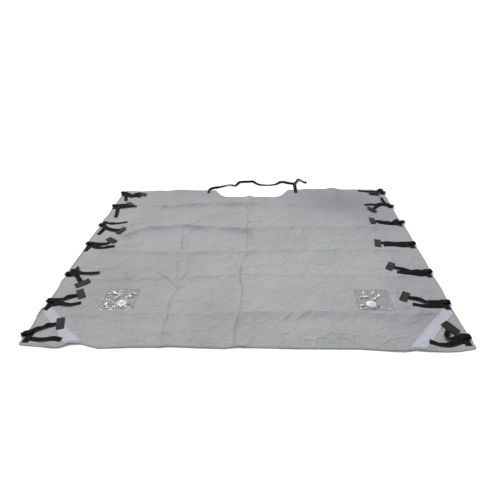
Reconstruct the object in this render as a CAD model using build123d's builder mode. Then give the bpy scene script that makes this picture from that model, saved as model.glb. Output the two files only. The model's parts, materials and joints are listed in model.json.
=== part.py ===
"""Rescue cover sheet with side ties, laid out flat: a coated-fabric sheet with a neck cut-out and
neck strap, seven pairs of webbing ties down each side, reflective corner bands and two clear
patches that carry suction cups.

Millimetres, +Z up. The origin is the centre of the sheet's underside, +X is to the right along
the long side and +Y points to the edge with the neck cut-out.
"""

import os
from collections import namedtuple
from math import cos, radians, sin

from build123d import *

# ---- driving dimensions: the sheet
sheet_width = 2500.0
sheet_depth = 2000.0
fabric = 0.7
hem_width = 12.0
hem_thickness = 2 * fabric
corner_radius = 20.0

# ---- driving dimensions: the neck cut-out and its strap
neck_width = 696.0
neck_floor_width = 524.0
neck_depth = 158.0
neck_floor_radius = 120.0
neck_lip_radius = 16.0
neck_root_margin = 62.0
neck_root_length = 46.0
neck_hinge_inset = 16.0
neck_strap_width = 25.0
neck_tab_width = 32.0
neck_tab_reach = 122.0
buckle_length = 34.0
buckle_margin = 4.0
buckle_thickness = 3.0
buckle_bar = 4.0

# ---- driving dimensions: the ties down each side
webbing_width = 30.0
webbing = 1.5
strand_gap = 6.0
front_row_gap = 2.0
rear_row_margin = 70.0
patch_inset = 14.0
patch_width = 36.0
patch_overhang = 13.0
patch_thickness = 0.9
fold_inset = 6.0
fold_radius = 7.0
crest_past = 24.0
crest_lead = 8.0
loop_hinge_gap = 12.0
root_gap = 5.0
pad_length = 46.0
pad_span = 98.0
pad_thickness = 2.0
pad_corner = 4.0
pad_overlap = 8.0
bend_margin = 1.5

# ---- driving dimensions: reflective bands, clear patches and suction cups
band_width = 64.0
band_leg = 275.0
tape = 0.3
film_width = 216.0
film_depth = 206.0
film_side_inset = 458.0
film_front_inset = 385.0
film_corner = 5.0
cup_radius = 32.0
cup_height = 18.0
cup_shift_side = 22.0
cup_shift_front = 40.0

clearance = 0.3

# ---- levels above the floor, worked out from the layers
sheet_top = fabric
hem_top = hem_thickness
tape_top = sheet_top + tape
root_top = sheet_top + webbing
patch_top = root_top + patch_thickness
lie = tape_top + clearance
neck_lie = hem_top + clearance
fold_height = hem_top + clearance + fold_radius + webbing / 2

side_edge = sheet_width / 2
rear_edge = sheet_depth / 2
strand_offset = (webbing_width + strand_gap) / 2
patch_length = 2 * (strand_offset + webbing_width / 2 + patch_overhang)
patch_end = patch_inset + patch_width
crest_run = patch_end + crest_past
tightest_bend = webbing_width / 2 + bend_margin
loop_hinge = patch_end + loop_hinge_gap
neck_root_x = neck_width / 2 + neck_root_margin
neck_hinge_y = rear_edge - neck_hinge_inset

# Rows of ties from the rear edge to the front, as shares of the span between the end rows.
row_shares = (1.0, 0.853, 0.685, 0.513, 0.324, 0.154, 0.0)
front_row = -rear_edge + hem_width + front_row_gap + patch_length / 2
rear_row = rear_edge - rear_row_margin
rows = [front_row + share * (rear_row - front_row) for share in row_shares]

# How each tie lies. strand: +1 where the hook strap is sewn on the rear half of the patch.
# Each lay is a list of (run, heading) pairs from the hinge, headings in degrees turned from
# straight inward towards the rear edge. pad: heading of the hook pad at the strap's end.
Tie = namedtuple("Tie", "strand hook pad loop")

left_ties = [
    Tie(1, [(crest_run, -3), (70, -9), (72, -16)], -14, [(60, -10), (115, -34)]),
    Tie(1, [(crest_run, 4), (45, 10), (22, 44)], 48, [(168, 0)]),
    Tie(-1, [(crest_run, -10), (60, -18), (72, -25)], -25, [(160, 1)]),
    Tie(1, [(crest_run, -5), (50, 0), (30, 32), (22, 55)], 55, [(60, -12), (50, 2), (62, 12)]),
    Tie(-1, [(crest_run, -13), (45, -44), (38, -50)], -48, [(170, -4)]),
    Tie(1, [(crest_run, 12), (45, 32), (50, 28)], 30, [(60, -2), (50, 0), (55, 10)]),
    Tie(1, [(crest_run, 13), (52, 40), (46, 38)], 21, [(170, -2)]),
]
right_ties = [
    Tie(-1, [(crest_run, -4), (14, -30), (20, -62)], -75, [(172, 6)]),
    Tie(-1, [(crest_run, -2), (70, -10), (45, -30), (18, -56)], -56, [(172, 0)]),
    Tie(1, [(crest_run, 0), (74, 0), (74, 4)], 0, [(148, 0)]),
    Tie(1, [(crest_run, 2), (178, 0)], 12, [(170, 2)]),
    Tie(1, [(crest_run, 6), (85, 12), (86, 20)], 29, [(60, 4), (112, 10)]),
    Tie(1, [(crest_run, 4), (85, 12), (82, 16)], 30, [(118, -1), (55, 10)]),
    Tie(1, [(crest_run, 0), (42, 0), (46, 100), (22, 135)], 135, [(60, -8), (60, -4), (58, 10)]),
]

# The neck strap as it lies: shares of the root's distance from the centre line, and
# millimetres beyond the rear edge. The last three points are the free tail past the buckle.
neck_route = [
    (-1.0, -neck_hinge_inset), (-1.0, 24), (-0.74, 70), (-0.50, 132), (-0.27, 188), (0.0, 206),
    (0.21, 150), (0.44, 128), (0.62, 150), (0.78, 190), (0.93, 166), (1.04, 166),
    (1.11, 212), (1.18, 254), (1.29, 164),
]
neck_bend_margin = 2.5
neck_bend = neck_strap_width / 2 + neck_bend_margin


def finish(builder, name):
    """Name a finished piece and write it to its own file."""
    builder.part.label = name
    export_step(builder.part, f"parts/{name}.step")


def turned(start, runs):
    """Corner points of a lay: a start point carried on by (run, heading) pairs."""
    points = [start]
    joined = runs[:1]
    for run, heading in runs[1:]:
        if heading == joined[-1][1]:
            joined[-1] = (joined[-1][0] + run, heading)
        else:
            joined.append((run, heading))
    for run, heading in joined:
        u, v = points[-1]
        points.append((u + run * cos(radians(heading)), v + run * sin(radians(heading))))
    return points


def tie_plane(side, row, level):
    """Plane of one tie: origin on the sheet's side edge, local x pointing inward."""
    return Plane(origin=(side * side_edge, row, level), x_dir=(-side, 0, 0), z_dir=(0, 0, 1))


def standing_plane(base, point, heading):
    """Upright plane through a point of a tie plane, with local x along the heading."""
    origin = base.from_local_coords(Vector(*point, 0))
    along = base.from_local_coords(Vector(point[0] + cos(heading), point[1] + sin(heading), 0))
    forward = along - origin
    return Plane(origin=origin, x_dir=forward, z_dir=(forward.Y, -forward.X, 0))


def bend_radii(points, smallest):
    """One fillet radius per corner, as large as the two runs at it allow with some room."""
    radii = []
    for before, corner, after in zip(points, points[1:], points[2:]):
        run_in = Vector(*corner) - Vector(*before)
        run_out = Vector(*after) - Vector(*corner)
        turn = radians(run_in.get_angle(run_out))
        half_tangent = sin(turn / 2) / cos(turn / 2)
        room = 0.45 * min(run_in.length, run_out.length)
        radii.append(max(smallest, min(120.0, room / half_tangent)))
    return radii


def strip_face(points, width, plane, smallest):
    """Plan of a flat strip of webbing along corner points with rounded turns."""
    with BuildSketch(plane) as strip:
        with BuildLine():
            if len(points) == 2:
                Line(points[0], points[1])
            else:
                FilletPolyline(*points, radius=bend_radii(points, smallest))
        trace(line_width=width)
    return strip.sketch


# ---- The sheet: one panel of coated fabric inside a doubled hem
with BuildSketch() as sheet_outline:
    Rectangle(sheet_width, sheet_depth)
    fillet(sheet_outline.vertices(), corner_radius)
    with BuildSketch(mode=Mode.SUBTRACT) as neck_cut:
        with BuildLine():
            Polyline(
                (-neck_width / 2, rear_edge),
                (-neck_floor_width / 2, rear_edge - neck_depth),
                (neck_floor_width / 2, rear_edge - neck_depth),
                (neck_width / 2, rear_edge),
                close=True,
            )
        make_face()
    neck_floor = sheet_outline.vertices().filter_by_position(
        Axis.Y, rear_edge - neck_depth - 1, rear_edge - neck_depth + 1
    )
    fillet(neck_floor, neck_floor_radius)
    neck_lips = sheet_outline.vertices().filter_by(
        lambda corner: abs(abs(corner.X) - neck_width / 2) < 1 and corner.Y > rear_edge - 1
    )
    fillet(neck_lips, neck_lip_radius)

with BuildPart() as sheet_panel:
    with BuildSketch():
        add(sheet_outline.sketch)
        offset(amount=-hem_width, kind=Kind.INTERSECTION)
    extrude(amount=fabric)

with BuildPart() as edge_hem:
    with BuildSketch():
        add(sheet_outline.sketch)
    extrude(amount=hem_thickness)
    with BuildSketch():
        add(sheet_outline.sketch)
        offset(amount=-hem_width, kind=Kind.INTERSECTION)
    extrude(amount=hem_thickness, mode=Mode.SUBTRACT)


def make_band(side):
    """Reflective tape sewn at 45 degrees across a front corner, its end stopping at a tie."""
    across = band_width * 2 ** 0.5
    near = hem_width + clearance
    corner = Plane(origin=(side * side_edge, -rear_edge, sheet_top), x_dir=(-side, 0, 0),
                   z_dir=(0, 0, 1))
    up = -side
    tie_row = rows[5] + rear_edge
    stop = tie_row - strand_offset - webbing_width / 2 - clearance
    beyond = max(band_leg + across, tie_row)
    with BuildPart() as band:
        with BuildSketch(corner):
            with BuildLine():
                Polyline(
                    (near, up * (band_leg - near)),
                    (band_leg - near, up * near),
                    (band_leg + across - near, up * near),
                    (near, up * (band_leg + across - near)),
                    close=True,
                )
            make_face()
            with Locations((loop_hinge / 2, up * (stop + beyond) / 2)):
                Rectangle(loop_hinge, beyond - stop, mode=Mode.SUBTRACT)
        extrude(amount=tape)
    return band


def make_film(side):
    """Square of clear film sewn flat on the sheet."""
    centre = (side * (side_edge - film_side_inset), -rear_edge + film_front_inset)
    with BuildPart() as film:
        with BuildSketch(Plane.XY.offset(sheet_top)):
            with Locations(centre):
                RectangleRounded(film_width, film_depth, film_corner)
        extrude(amount=tape)
    return film


def make_cup(side):
    """Moulded suction cup: thin lip, domed wall, neck and pull knob, turned about its axis."""
    centre = (
        side * (side_edge - film_side_inset - cup_shift_side),
        -rear_edge + film_front_inset - cup_shift_front,
    )
    lip = 0.8
    neck_radius = 6.0
    knob_radius = 10.0
    knob_height = 5.0
    dome_height = 9.0
    hollow = 3.0
    with BuildPart() as cup:
        with BuildSketch(Plane(origin=(*centre, tape_top), x_dir=(1, 0, 0), z_dir=(0, -1, 0))):
            with BuildLine():
                foot = Line((cup_radius - 1, 0), (cup_radius, 0))
                rim = Line(foot @ 1, (cup_radius, lip))
                dome = ThreePointArc(
                    rim @ 1, (cup_radius * 0.62, dome_height * 0.70), (neck_radius, dome_height)
                )
                neck = Line(dome @ 1, (neck_radius, cup_height - knob_height))
                shelf = Line(neck @ 1, (knob_radius, cup_height - knob_height))
                wall = Line(shelf @ 1, (knob_radius, cup_height - 1))
                edge = Line(wall @ 1, (knob_radius - 1, cup_height))
                top = Line(edge @ 1, (0, cup_height))
                axis_line = Line(top @ 1, (0, hollow))
                ThreePointArc(axis_line @ 1, (cup_radius * 0.52, hollow * 0.74), foot @ 0)
            make_face()
        revolve(axis=Axis((*centre, 0), (0, 0, 1)))
    return cup


def make_tie_roots(side, ties):
    """Sewn ends of the two straps of every tie on one side, under the cross patches."""
    hand = -side
    with BuildPart() as roots:
        for row, tie in zip(rows, ties):
            with BuildSketch(tie_plane(side, row, sheet_top)):
                hook_start = max(fold_inset + root_gap, hem_width + clearance)
                hook_centre = ((hook_start + patch_end) / 2, hand * tie.strand * strand_offset)
                with Locations(hook_centre):
                    Rectangle(patch_end - hook_start, webbing_width)
                loop_end = loop_hinge - root_gap
                loop_centre = ((patch_inset + loop_end) / 2, -hand * tie.strand * strand_offset)
                with Locations(loop_centre):
                    Rectangle(loop_end - patch_inset, webbing_width)
            extrude(amount=webbing)
    return roots


def make_tie_patches(side):
    """Cross patches sewn over the strap ends, one for each tie on one side."""
    with BuildPart() as patches:
        for row in rows:
            with BuildSketch(tie_plane(side, row, root_top)):
                with Locations((patch_inset + patch_width / 2, 0)):
                    Rectangle(patch_width, patch_length)
            extrude(amount=patch_thickness)
    return patches


def make_hook_strap(side, row, tie):
    """Hook strap: quarter of the turn at the edge, a crest over the patch, then the flat lay."""
    hand = -side
    base = tie_plane(side, row, 0)
    start = (fold_inset, hand * tie.strand * strand_offset)
    runs = [(run, hand * heading) for run, heading in tie.hook]
    lay = runs[0][1]
    crest_end = turned(start, runs[:1])[-1]
    flat_points = turned(crest_end, [(crest_lead, lay)] + runs[1:])
    mid_lie = lie + webbing / 2
    drop_middle = (crest_run / 2, (fold_height + fold_radius + mid_lie) / 2)
    with BuildPart() as strap:
        with BuildSketch(standing_plane(base, start, radians(lay))):
            with BuildLine():
                turn = CenterArc((0, fold_height), fold_radius, 90, 90)
                crest = TangentArc(turn @ 0, drop_middle, tangent=(1, 0))
                TangentArc(drop_middle, (crest_run, mid_lie), tangent=crest % 1)
            trace(line_width=webbing)
        extrude(amount=webbing_width / 2, both=True)
        extrude(strip_face(flat_points, webbing_width, base.offset(lie), tightest_bend), amount=webbing)
    return strap


def make_hook_pad(side, row, tie):
    """Hook pad sewn across the end of the hook strap, on top of it."""
    hand = -side
    base = tie_plane(side, row, lie + webbing)
    start = (fold_inset, hand * tie.strand * strand_offset)
    runs = [(run, hand * heading) for run, heading in tie.hook]
    end = turned(start, runs[:1] + [(crest_lead, runs[0][1])] + runs[1:])[-1]
    heading = radians(hand * tie.pad)
    reach = pad_length / 2 - pad_overlap
    centre = (end[0] + reach * cos(heading), end[1] + reach * sin(heading))
    with BuildPart() as pad:
        with BuildSketch(base):
            with Locations(Location((*centre, 0), (0, 0, hand * tie.pad))):
                RectangleRounded(pad_length, pad_span, pad_corner)
        extrude(amount=pad_thickness)
    return pad


def make_loop_strap(side, row, tie):
    """Loop strap: a round end on its hinge line at the patch, then the flat lay."""
    hand = -side
    base = tie_plane(side, row, 0)
    start = (loop_hinge, -hand * tie.strand * strand_offset)
    runs = [(run, hand * heading) for run, heading in tie.loop]
    points = turned(start, runs)
    with BuildPart() as strap:
        with BuildSketch(standing_plane(base, start, radians(runs[0][1]))):
            with Locations((0, lie + webbing / 2)):
                Circle(webbing / 2)
        extrude(amount=webbing_width / 2, both=True)
        extrude(strip_face(points, webbing_width, base.offset(lie), tightest_bend), amount=webbing)
    return strap


def neck_end(x):
    """Round end of a neck webbing on the hinge line, seen from the side."""
    centre = (x, neck_hinge_y, neck_lie + webbing / 2)
    with BuildSketch(Plane(origin=centre, x_dir=(0, 1, 0), z_dir=(1, 0, 0))) as end:
        Circle(webbing / 2)
    return end.sketch


# ---- The neck strap, its sewn ends, the tab and the buckle
buckle_y = rear_edge + neck_tab_reach + buckle_length / 2
buckle_width = neck_tab_width + 2 * buckle_margin
tab_x = neck_root_x * 1.02

with BuildPart() as neck_roots:
    with BuildSketch(Plane.XY.offset(sheet_top)):
        root_y = neck_hinge_y - root_gap - neck_root_length / 2
        with Locations((-neck_root_x, root_y)):
            Rectangle(neck_strap_width, neck_root_length)
        with Locations((tab_x, root_y)):
            Rectangle(neck_tab_width, neck_root_length)
    extrude(amount=webbing)

with BuildPart() as neck_tab:
    extrude(neck_end(tab_x), amount=neck_tab_width / 2, both=True)
    with BuildSketch(Plane.XY.offset(neck_lie)):
        tab_length = rear_edge + neck_tab_reach - neck_hinge_y
        with Locations((tab_x, neck_hinge_y + tab_length / 2)):
            Rectangle(neck_tab_width, tab_length)
    extrude(amount=webbing)

with BuildPart() as neck_strap:
    extrude(neck_end(-neck_root_x), amount=neck_strap_width / 2, both=True)
    neck_points = [(share * neck_root_x, rear_edge + beyond) for share, beyond in neck_route]
    neck_plan = strip_face(neck_points, neck_strap_width, Plane.XY.offset(neck_lie), neck_bend)
    extrude(neck_plan, amount=webbing)

with BuildPart() as neck_buckle:
    slot_length = (buckle_length - 3 * buckle_bar) / 2
    slot_shift = (slot_length + buckle_bar) / 2
    with BuildSketch(Plane.XY.offset(neck_lie + webbing)):
        with Locations((tab_x, buckle_y)):
            RectangleRounded(buckle_width, buckle_length, buckle_bar)
        with Locations((tab_x, buckle_y - slot_shift), (tab_x, buckle_y + slot_shift)):
            Rectangle(neck_tab_width, slot_length, mode=Mode.SUBTRACT)
    extrude(amount=buckle_thickness)

# ---- Write every piece
os.makedirs("parts", exist_ok=True)
finish(sheet_panel, "sheet_panel")
finish(edge_hem, "edge_hem")
finish(neck_roots, "neck_roots")
finish(neck_tab, "neck_tab")
finish(neck_strap, "neck_strap")
finish(neck_buckle, "neck_buckle")
for side, side_name, ties in ((-1, "left", left_ties), (1, "right", right_ties)):
    finish(make_band(side), f"reflective_band_{side_name}")
    finish(make_film(side), f"clear_film_{side_name}")
    finish(make_cup(side), f"suction_cup_{side_name}")
    finish(make_tie_roots(side, ties), f"tie_roots_{side_name}")
    finish(make_tie_patches(side), f"tie_patches_{side_name}")
    for number, (row, tie) in enumerate(zip(rows, ties), start=1):
        finish(make_hook_strap(side, row, tie), f"hook_strap_{side_name}_{number}")
        finish(make_hook_pad(side, row, tie), f"hook_pad_{side_name}_{number}")
        finish(make_loop_strap(side, row, tie), f"loop_strap_{side_name}_{number}")
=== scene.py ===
"""Rescue cover sheet laid out on a floor: grey coated fabric with a neck cut-out and strap, seven
pairs of black webbing ties down each side, reflective corner bands and clear patches with cups.

Metres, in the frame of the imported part. Sections follow the order in which the sheet is sewn.
"""

import json

import bpy
import numpy as np
from mathutils import Matrix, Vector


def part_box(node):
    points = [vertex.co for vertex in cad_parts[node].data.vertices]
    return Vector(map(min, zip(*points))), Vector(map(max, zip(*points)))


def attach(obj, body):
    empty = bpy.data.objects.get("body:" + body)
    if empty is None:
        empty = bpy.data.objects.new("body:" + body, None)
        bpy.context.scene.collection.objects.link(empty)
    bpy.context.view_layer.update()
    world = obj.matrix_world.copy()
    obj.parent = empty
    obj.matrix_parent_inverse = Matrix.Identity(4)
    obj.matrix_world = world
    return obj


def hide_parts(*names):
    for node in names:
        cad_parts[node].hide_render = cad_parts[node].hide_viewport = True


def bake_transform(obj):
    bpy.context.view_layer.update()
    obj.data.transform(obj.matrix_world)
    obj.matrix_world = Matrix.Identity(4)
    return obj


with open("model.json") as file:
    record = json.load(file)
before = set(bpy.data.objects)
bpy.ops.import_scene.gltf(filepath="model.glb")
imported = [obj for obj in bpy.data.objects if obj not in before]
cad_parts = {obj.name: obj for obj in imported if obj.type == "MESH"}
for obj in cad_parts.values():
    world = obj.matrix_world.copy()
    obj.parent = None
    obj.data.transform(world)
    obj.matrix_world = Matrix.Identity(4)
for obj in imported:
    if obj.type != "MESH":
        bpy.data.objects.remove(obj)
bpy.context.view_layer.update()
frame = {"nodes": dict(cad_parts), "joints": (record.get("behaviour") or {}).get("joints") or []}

# ---- Floor, light and camera -----------------------------------------------------------------
# A bare pale floor under broad soft light from overhead, seen by a person standing at the edge
# without the neck cut-out, with the wide lens of a small camera.

eye = np.array([0.116, -2.531, 1.637])
tilt, turn, roll = np.radians([-33.31, -2.37, -1.33])
lens_share = 400 / 500

forward = np.array([np.sin(turn) * np.cos(tilt), np.cos(turn) * np.cos(tilt), np.sin(tilt)])
level = np.array([np.cos(turn), -np.sin(turn), 0.0])
above = np.cross(level, forward)
right = np.cos(roll) * level + np.sin(roll) * above
upward = np.cos(roll) * above - np.sin(roll) * level

camera = bpy.data.objects.new("camera", bpy.data.cameras.new("camera"))
camera.data.sensor_width = 36
camera.data.lens = 36 * lens_share
camera.data.clip_end = 4000
camera.matrix_world = Matrix([[*row] for row in np.column_stack([right, upward, -forward, eye])]
                             + [[0, 0, 0, 1]])
bpy.context.scene.collection.objects.link(camera)
bpy.context.scene.camera = camera
bpy.context.scene.view_settings.view_transform = "Standard"

room = bpy.data.worlds.new("room")
room.use_nodes = True
room.node_tree.nodes["Background"].inputs["Color"].default_value = (1.0, 1.0, 1.0, 1.0)
room.node_tree.nodes["Background"].inputs["Strength"].default_value = 0.50
bpy.context.scene.world = room


def aimed(name, lamp, place, aim):
    """Lamp at a place, turned to face a point."""
    holder = bpy.data.objects.new(name, lamp)
    back = np.array(place, float) - np.array(aim, float)
    back /= np.linalg.norm(back)
    across = np.cross([0, 1, 0.01], back)
    across /= np.linalg.norm(across)
    columns = np.column_stack([across, np.cross(back, across), back, place])
    holder.matrix_world = Matrix([[*row] for row in columns] + [[0, 0, 0, 1]])
    bpy.context.scene.collection.objects.link(holder)


skylight = bpy.data.lights.new("skylight", "SUN")
skylight.energy = 2.75
skylight.angle = np.radians(16)
aimed("skylight", skylight, (-1.5, 2.9, 3.7), (0, 0, 0))
softbox = bpy.data.lights.new("softbox", "AREA")
softbox.size = 0.4
softbox.energy = 16
aimed("softbox", softbox, (1.9, 1.0, 2.6), (0.7, -0.5, 0))


def settle(z):
    """Height eased toward a ceiling of 27 mm: cloth this soft sinks under its own weight."""
    free, room = 0.0145, 0.0125
    return np.minimum(z, free) + room * (1 - np.exp(-np.maximum(z - free, 0) / room))


def surface(name, points, ring=False, caps=False, uv=None):
    """Piece from a grid of points: every four neighbours make one face, and caps close both ends."""
    rows, columns = points.shape[:2]
    points = np.concatenate([points[..., :2], settle(points[..., 2:])], -1)
    index = np.arange(rows * columns).reshape(rows, columns)
    left = index if ring else index[:, :-1]
    beside = np.roll(index, -1, axis=1) if ring else index[:, 1:]
    faces = np.stack([left[:-1], beside[:-1], beside[1:], left[1:]], -1).reshape(-1, 4).tolist()
    if caps:
        faces += [index[0][::-1].tolist(), index[-1].tolist()]
    mesh = bpy.data.meshes.new(name)
    mesh.from_pydata(points.reshape(-1, 3).tolist(), [], faces)
    if uv is not None:
        corners = np.empty(len(mesh.loops), np.int32)
        mesh.loops.foreach_get("vertex_index", corners)
        layer = mesh.uv_layers.new(name="cloth")
        layer.data.foreach_set("uv", uv.reshape(-1, 2)[corners].astype(np.float32).ravel())
    mesh.shade_smooth()
    piece = bpy.data.objects.new(name, mesh)
    bpy.context.scene.collection.objects.link(piece)
    return piece


def place(tree, kind, feeds=None, **settings):
    """One shader node in a tree: settings are its options, feeds its sockets' values or links."""
    node = tree.nodes.new(kind)
    for option, value in settings.items():
        setattr(node, option, value)
    for socket, value in (feeds or {}).items():
        if isinstance(value, bpy.types.NodeSocket):
            tree.links.new(value, node.inputs[socket])
        else:
            node.inputs[socket].default_value = value
    return node


def blank_material(name):
    """New node material: its tree and its Principled BSDF."""
    material = bpy.data.materials.new(name)
    material.use_nodes = True
    return material, material.node_tree, material.node_tree.nodes["Principled BSDF"]


def dress(piece, material):
    """Gives a piece its one material in place of any it had."""
    piece.data.materials.clear()
    piece.data.materials.append(material)


floor_points = np.stack(np.meshgrid([-1500.0, 1500.0], [-1500.0, 1500.0]) + [np.full((2, 2), -0.0008)], -1)
floor = surface("floor", floor_points)
floor_paint, tree, shader = blank_material("floor_paint")
speck = place(tree, "ShaderNodeTexNoise", {"Scale": 3.0, "Detail": 2.0})
shade = place(tree, "ShaderNodeMapRange", {"Value": speck.outputs["Fac"], "To Min": 0.94, "To Max": 0.96})
tree.links.new(shade.outputs["Result"], shader.inputs["Base Color"])
shader.inputs["Roughness"].default_value = 0.9
shader.inputs["Specular IOR Level"].default_value = 0.1
dress(floor, floor_paint)

# ---- Sheet panel ------------------------------------------------------------------------------
# One cut of grey polyester with a matt coating. It has been stored folded in quarters and
# eighths, so it lies with straight fold lines, short kinks and low swells between them.

hem_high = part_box("edge_hem")[1]
half_width = hem_high.x
half_depth = hem_high.y
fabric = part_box("sheet_panel")[1].z
neck_half = 0.348
neck_floor_half = 0.262
neck_depth = 0.158
hem_width = 0.012

# Each fold: height, width of its slope on the route's right hand, width of the other slope,
# darkness of the painted shade along its line, then its route.
folds = [
    (0.0100, 0.052, 0.110, 0.50, [(-0.76, 0.668), (-0.56, 0.694), (-0.36, 0.714), (-0.10, 0.704),
                                  (-0.03, 0.700)]),
    (0.0060, 0.045, 0.100, 0.30, [(-0.03, 0.700), (0.20, 0.690), (0.35, 0.692), (0.62, 0.668)]),
    (0.0110, 0.060, 0.120, 0.55, [(-0.96, 0.190), (-0.90, 0.235), (-0.82, 0.285), (-0.66, 0.300),
                                  (-0.54, 0.314), (-0.30, 0.292), (-0.12, 0.262), (-0.02, 0.240)]),
    (0.0060, 0.040, 0.100, 0.32, [(-0.02, 0.262), (0.20, 0.278), (0.42, 0.292), (0.80, 0.276),
                                  (1.10, 0.282)]),
    (0.0055, 0.030, 0.060, 0.55, [(-1.02, -0.058), (-0.78, -0.082), (-0.44, -0.092), (-0.20, -0.070),
                                  (-0.02, -0.082)]),
    (0.0040, 0.024, 0.050, 0.35, [(0.03, -0.066), (0.42, -0.046), (0.60, -0.052), (0.84, -0.042),
                                  (1.12, -0.060)]),
    (0.0045, 0.026, 0.060, 0.32, [(-1.08, -0.415), (-0.80, -0.404), (-0.45, -0.397), (-0.15, -0.362),
                                  (0.01, -0.352)]),
    (0.0035, 0.024, 0.050, 0.20, [(0.05, -0.352), (0.50, -0.360), (0.88, -0.372), (1.10, -0.384)]),
    (0.0060, 0.050, 0.080, 0.16, [(-0.98, -0.752), (-0.75, -0.745), (-0.29, -0.757), (-0.04, -0.742)]),
    (0.0085, 0.055, 0.090, 0.30, [(-0.01, -0.738), (0.26, -0.734), (0.48, -0.726), (0.66, -0.728),
                                  (0.86, -0.750), (1.02, -0.748)]),
    (0.0045, 0.016, 0.045, 0.75, [(-0.548, 0.300), (-0.530, 0.15), (-0.490, -0.045)]),
    (0.0035, 0.014, 0.040, 0.55, [(-0.432, -0.094), (-0.407, -0.294), (-0.448, -0.493)]),
    (0.0050, 0.016, 0.040, 0.60, [(-0.500, -0.200), (-0.470, -0.380), (-0.446, -0.493), (-0.466, -0.614),
                                  (-0.458, -0.80), (-0.452, -0.995)]),
    (0.0045, 0.018, 0.045, 0.70, [(-0.028, 0.66), (-0.021, 0.46), (-0.021, 0.285), (-0.012, 0.10),
                                  (-0.003, -0.068)]),
    (0.0050, 0.016, 0.050, 0.75, [(-0.003, -0.068), (-0.030, -0.20), (-0.048, -0.317), (-0.026, -0.48),
                                  (-0.020, -0.649), (-0.040, -0.825), (-0.053, -0.996)]),
    (0.0040, 0.020, 0.050, 0.25, [(0.342, 0.83), (0.345, 0.60), (0.325, 0.31)]),
    (0.0038, 0.018, 0.045, 0.28, [(0.446, 0.348), (0.42, 0.15), (0.402, -0.05)]),
    (0.0030, 0.018, 0.045, 0.22, [(0.330, -0.36), (0.318, -0.58), (0.335, -0.73)]),
    (0.0030, 0.022, 0.060, 0.12, [(0.80, 0.28), (0.79, 0.05), (0.80, -0.36)]),
    (0.0030, 0.022, 0.060, 0.12, [(-0.86, 0.26), (-0.83, 0.02), (-0.80, -0.40), (-0.82, -0.49)]),
    (0.0045, 0.020, 0.030, 0.60, [(-0.985, 0.340), (-0.950, 0.262), (-0.893, 0.194)]),
    (0.0040, 0.014, 0.026, 0.60, [(-0.468, 0.320), (-0.452, 0.36), (-0.421, 0.404)]),
    (0.0045, 0.012, 0.022, 0.85, [(-0.044, 0.242), (-0.012, 0.180), (0.031, 0.112)]),
    (0.0032, 0.012, 0.022, 0.60, [(-0.018, 0.366), (0.040, 0.378), (0.090, 0.404)]),
    (0.0045, 0.012, 0.024, 0.60, [(-0.614, -0.340), (-0.53, -0.40), (-0.446, -0.493)]),
    (0.0035, 0.012, 0.024, 0.50, [(-0.150, -0.094), (-0.10, -0.19), (-0.035, -0.317)]),
    (0.0050, 0.012, 0.022, 0.65, [(0.232, -0.792), (0.252, -0.77), (0.274, -0.738)]),
    (0.0048, 0.012, 0.022, 0.60, [(0.320, -0.784), (0.350, -0.76), (0.382, -0.728)]),
    (0.0042, 0.014, 0.024, 0.55, [(-0.850, -0.322), (-0.830, -0.36), (-0.803, -0.405)]),
    (0.0040, 0.016, 0.030, 0.30, [(0.006, -0.995), (0.030, -0.95), (0.052, -0.918)]),
]

# Small wrinkles, scattered: a few inward from every tie and the rest anywhere, short and low.
scatter = np.random.default_rng(19)
tie_rows = [0.930, 0.655, 0.341, 0.019, -0.334, -0.652, -0.940]
for hand in (-1, 1):
    for tie_row in tie_rows:
        for heading in scatter.uniform(-42, 42, 4):
            start = (hand * scatter.uniform(1.02, 1.17), tie_row + scatter.uniform(-0.07, 0.07))
            reach = scatter.uniform(0.09, 0.24)
            end = (start[0] - hand * reach * np.cos(np.radians(heading)),
                   start[1] + reach * np.sin(np.radians(heading)))
            folds.append((scatter.uniform(0.0015, 0.0040), 0.016, 0.034, scatter.uniform(0, 0.12),
                          [start, end]))
headings = [scatter.normal(0, 9, 26), scatter.normal(90, 9, 24), scatter.uniform(0, 180, 44)]
for heading in np.concatenate(headings):
    start = (scatter.uniform(-1.1, 1.1), scatter.uniform(-0.95, 0.80))
    reach = scatter.uniform(0.06, 0.26)
    end = (start[0] + reach * np.cos(np.radians(heading)), start[1] + reach * np.sin(np.radians(heading)))
    folds.append((scatter.uniform(0.0012, 0.0034), scatter.uniform(0.012, 0.026),
                  scatter.uniform(0.022, 0.050), scatter.uniform(0, 0.16), [start, end]))

# Swells: height, centre, then half-lengths along X and Y.
swells = [
    (0.0190, (-0.016, 0.800), (0.024, 0.130)),
    (0.0080, (0.070, 0.790), (0.090, 0.060)),
    (0.0170, (0.765, 0.930), (0.055, 0.180)),
    (0.0080, (0.640, 0.960), (0.070, 0.120)),
    (0.0100, (-0.735, 0.950), (0.110, 0.110)),
    (0.0070, (-0.560, 0.985), (0.050, 0.060)),
    (0.0080, (-0.330, 0.500), (0.170, 0.080)),
    (0.0110, (-0.980, 0.430), (0.065, 0.130)),
    (0.0100, (-1.225, 0.520), (0.040, 0.100)),
    (0.0080, (0.520, 0.955), (0.050, 0.080)),
    (0.0070, (0.930, 0.450), (0.140, 0.180)),
    (0.0070, (0.300, 0.540), (0.160, 0.090)),
    (0.0060, (-0.950, -0.960), (0.045, 0.110)),
    (0.0060, (-0.560, -0.900), (0.160, 0.080)),
    (0.0070, (0.480, -0.870), (0.240, 0.070)),
    (0.0070, (0.860, -0.950), (0.100, 0.080)),
    (0.0060, (-0.240, -0.620), (0.140, 0.090)),
    (0.0060, (0.120, 0.060), (0.200, 0.090)),
    (0.0080, (1.150, 0.540), (0.060, 0.110)),
    (0.0080, (-1.150, -0.180), (0.060, 0.110)),
    (0.0070, (1.140, -0.500), (0.060, 0.080)),
]


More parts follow.
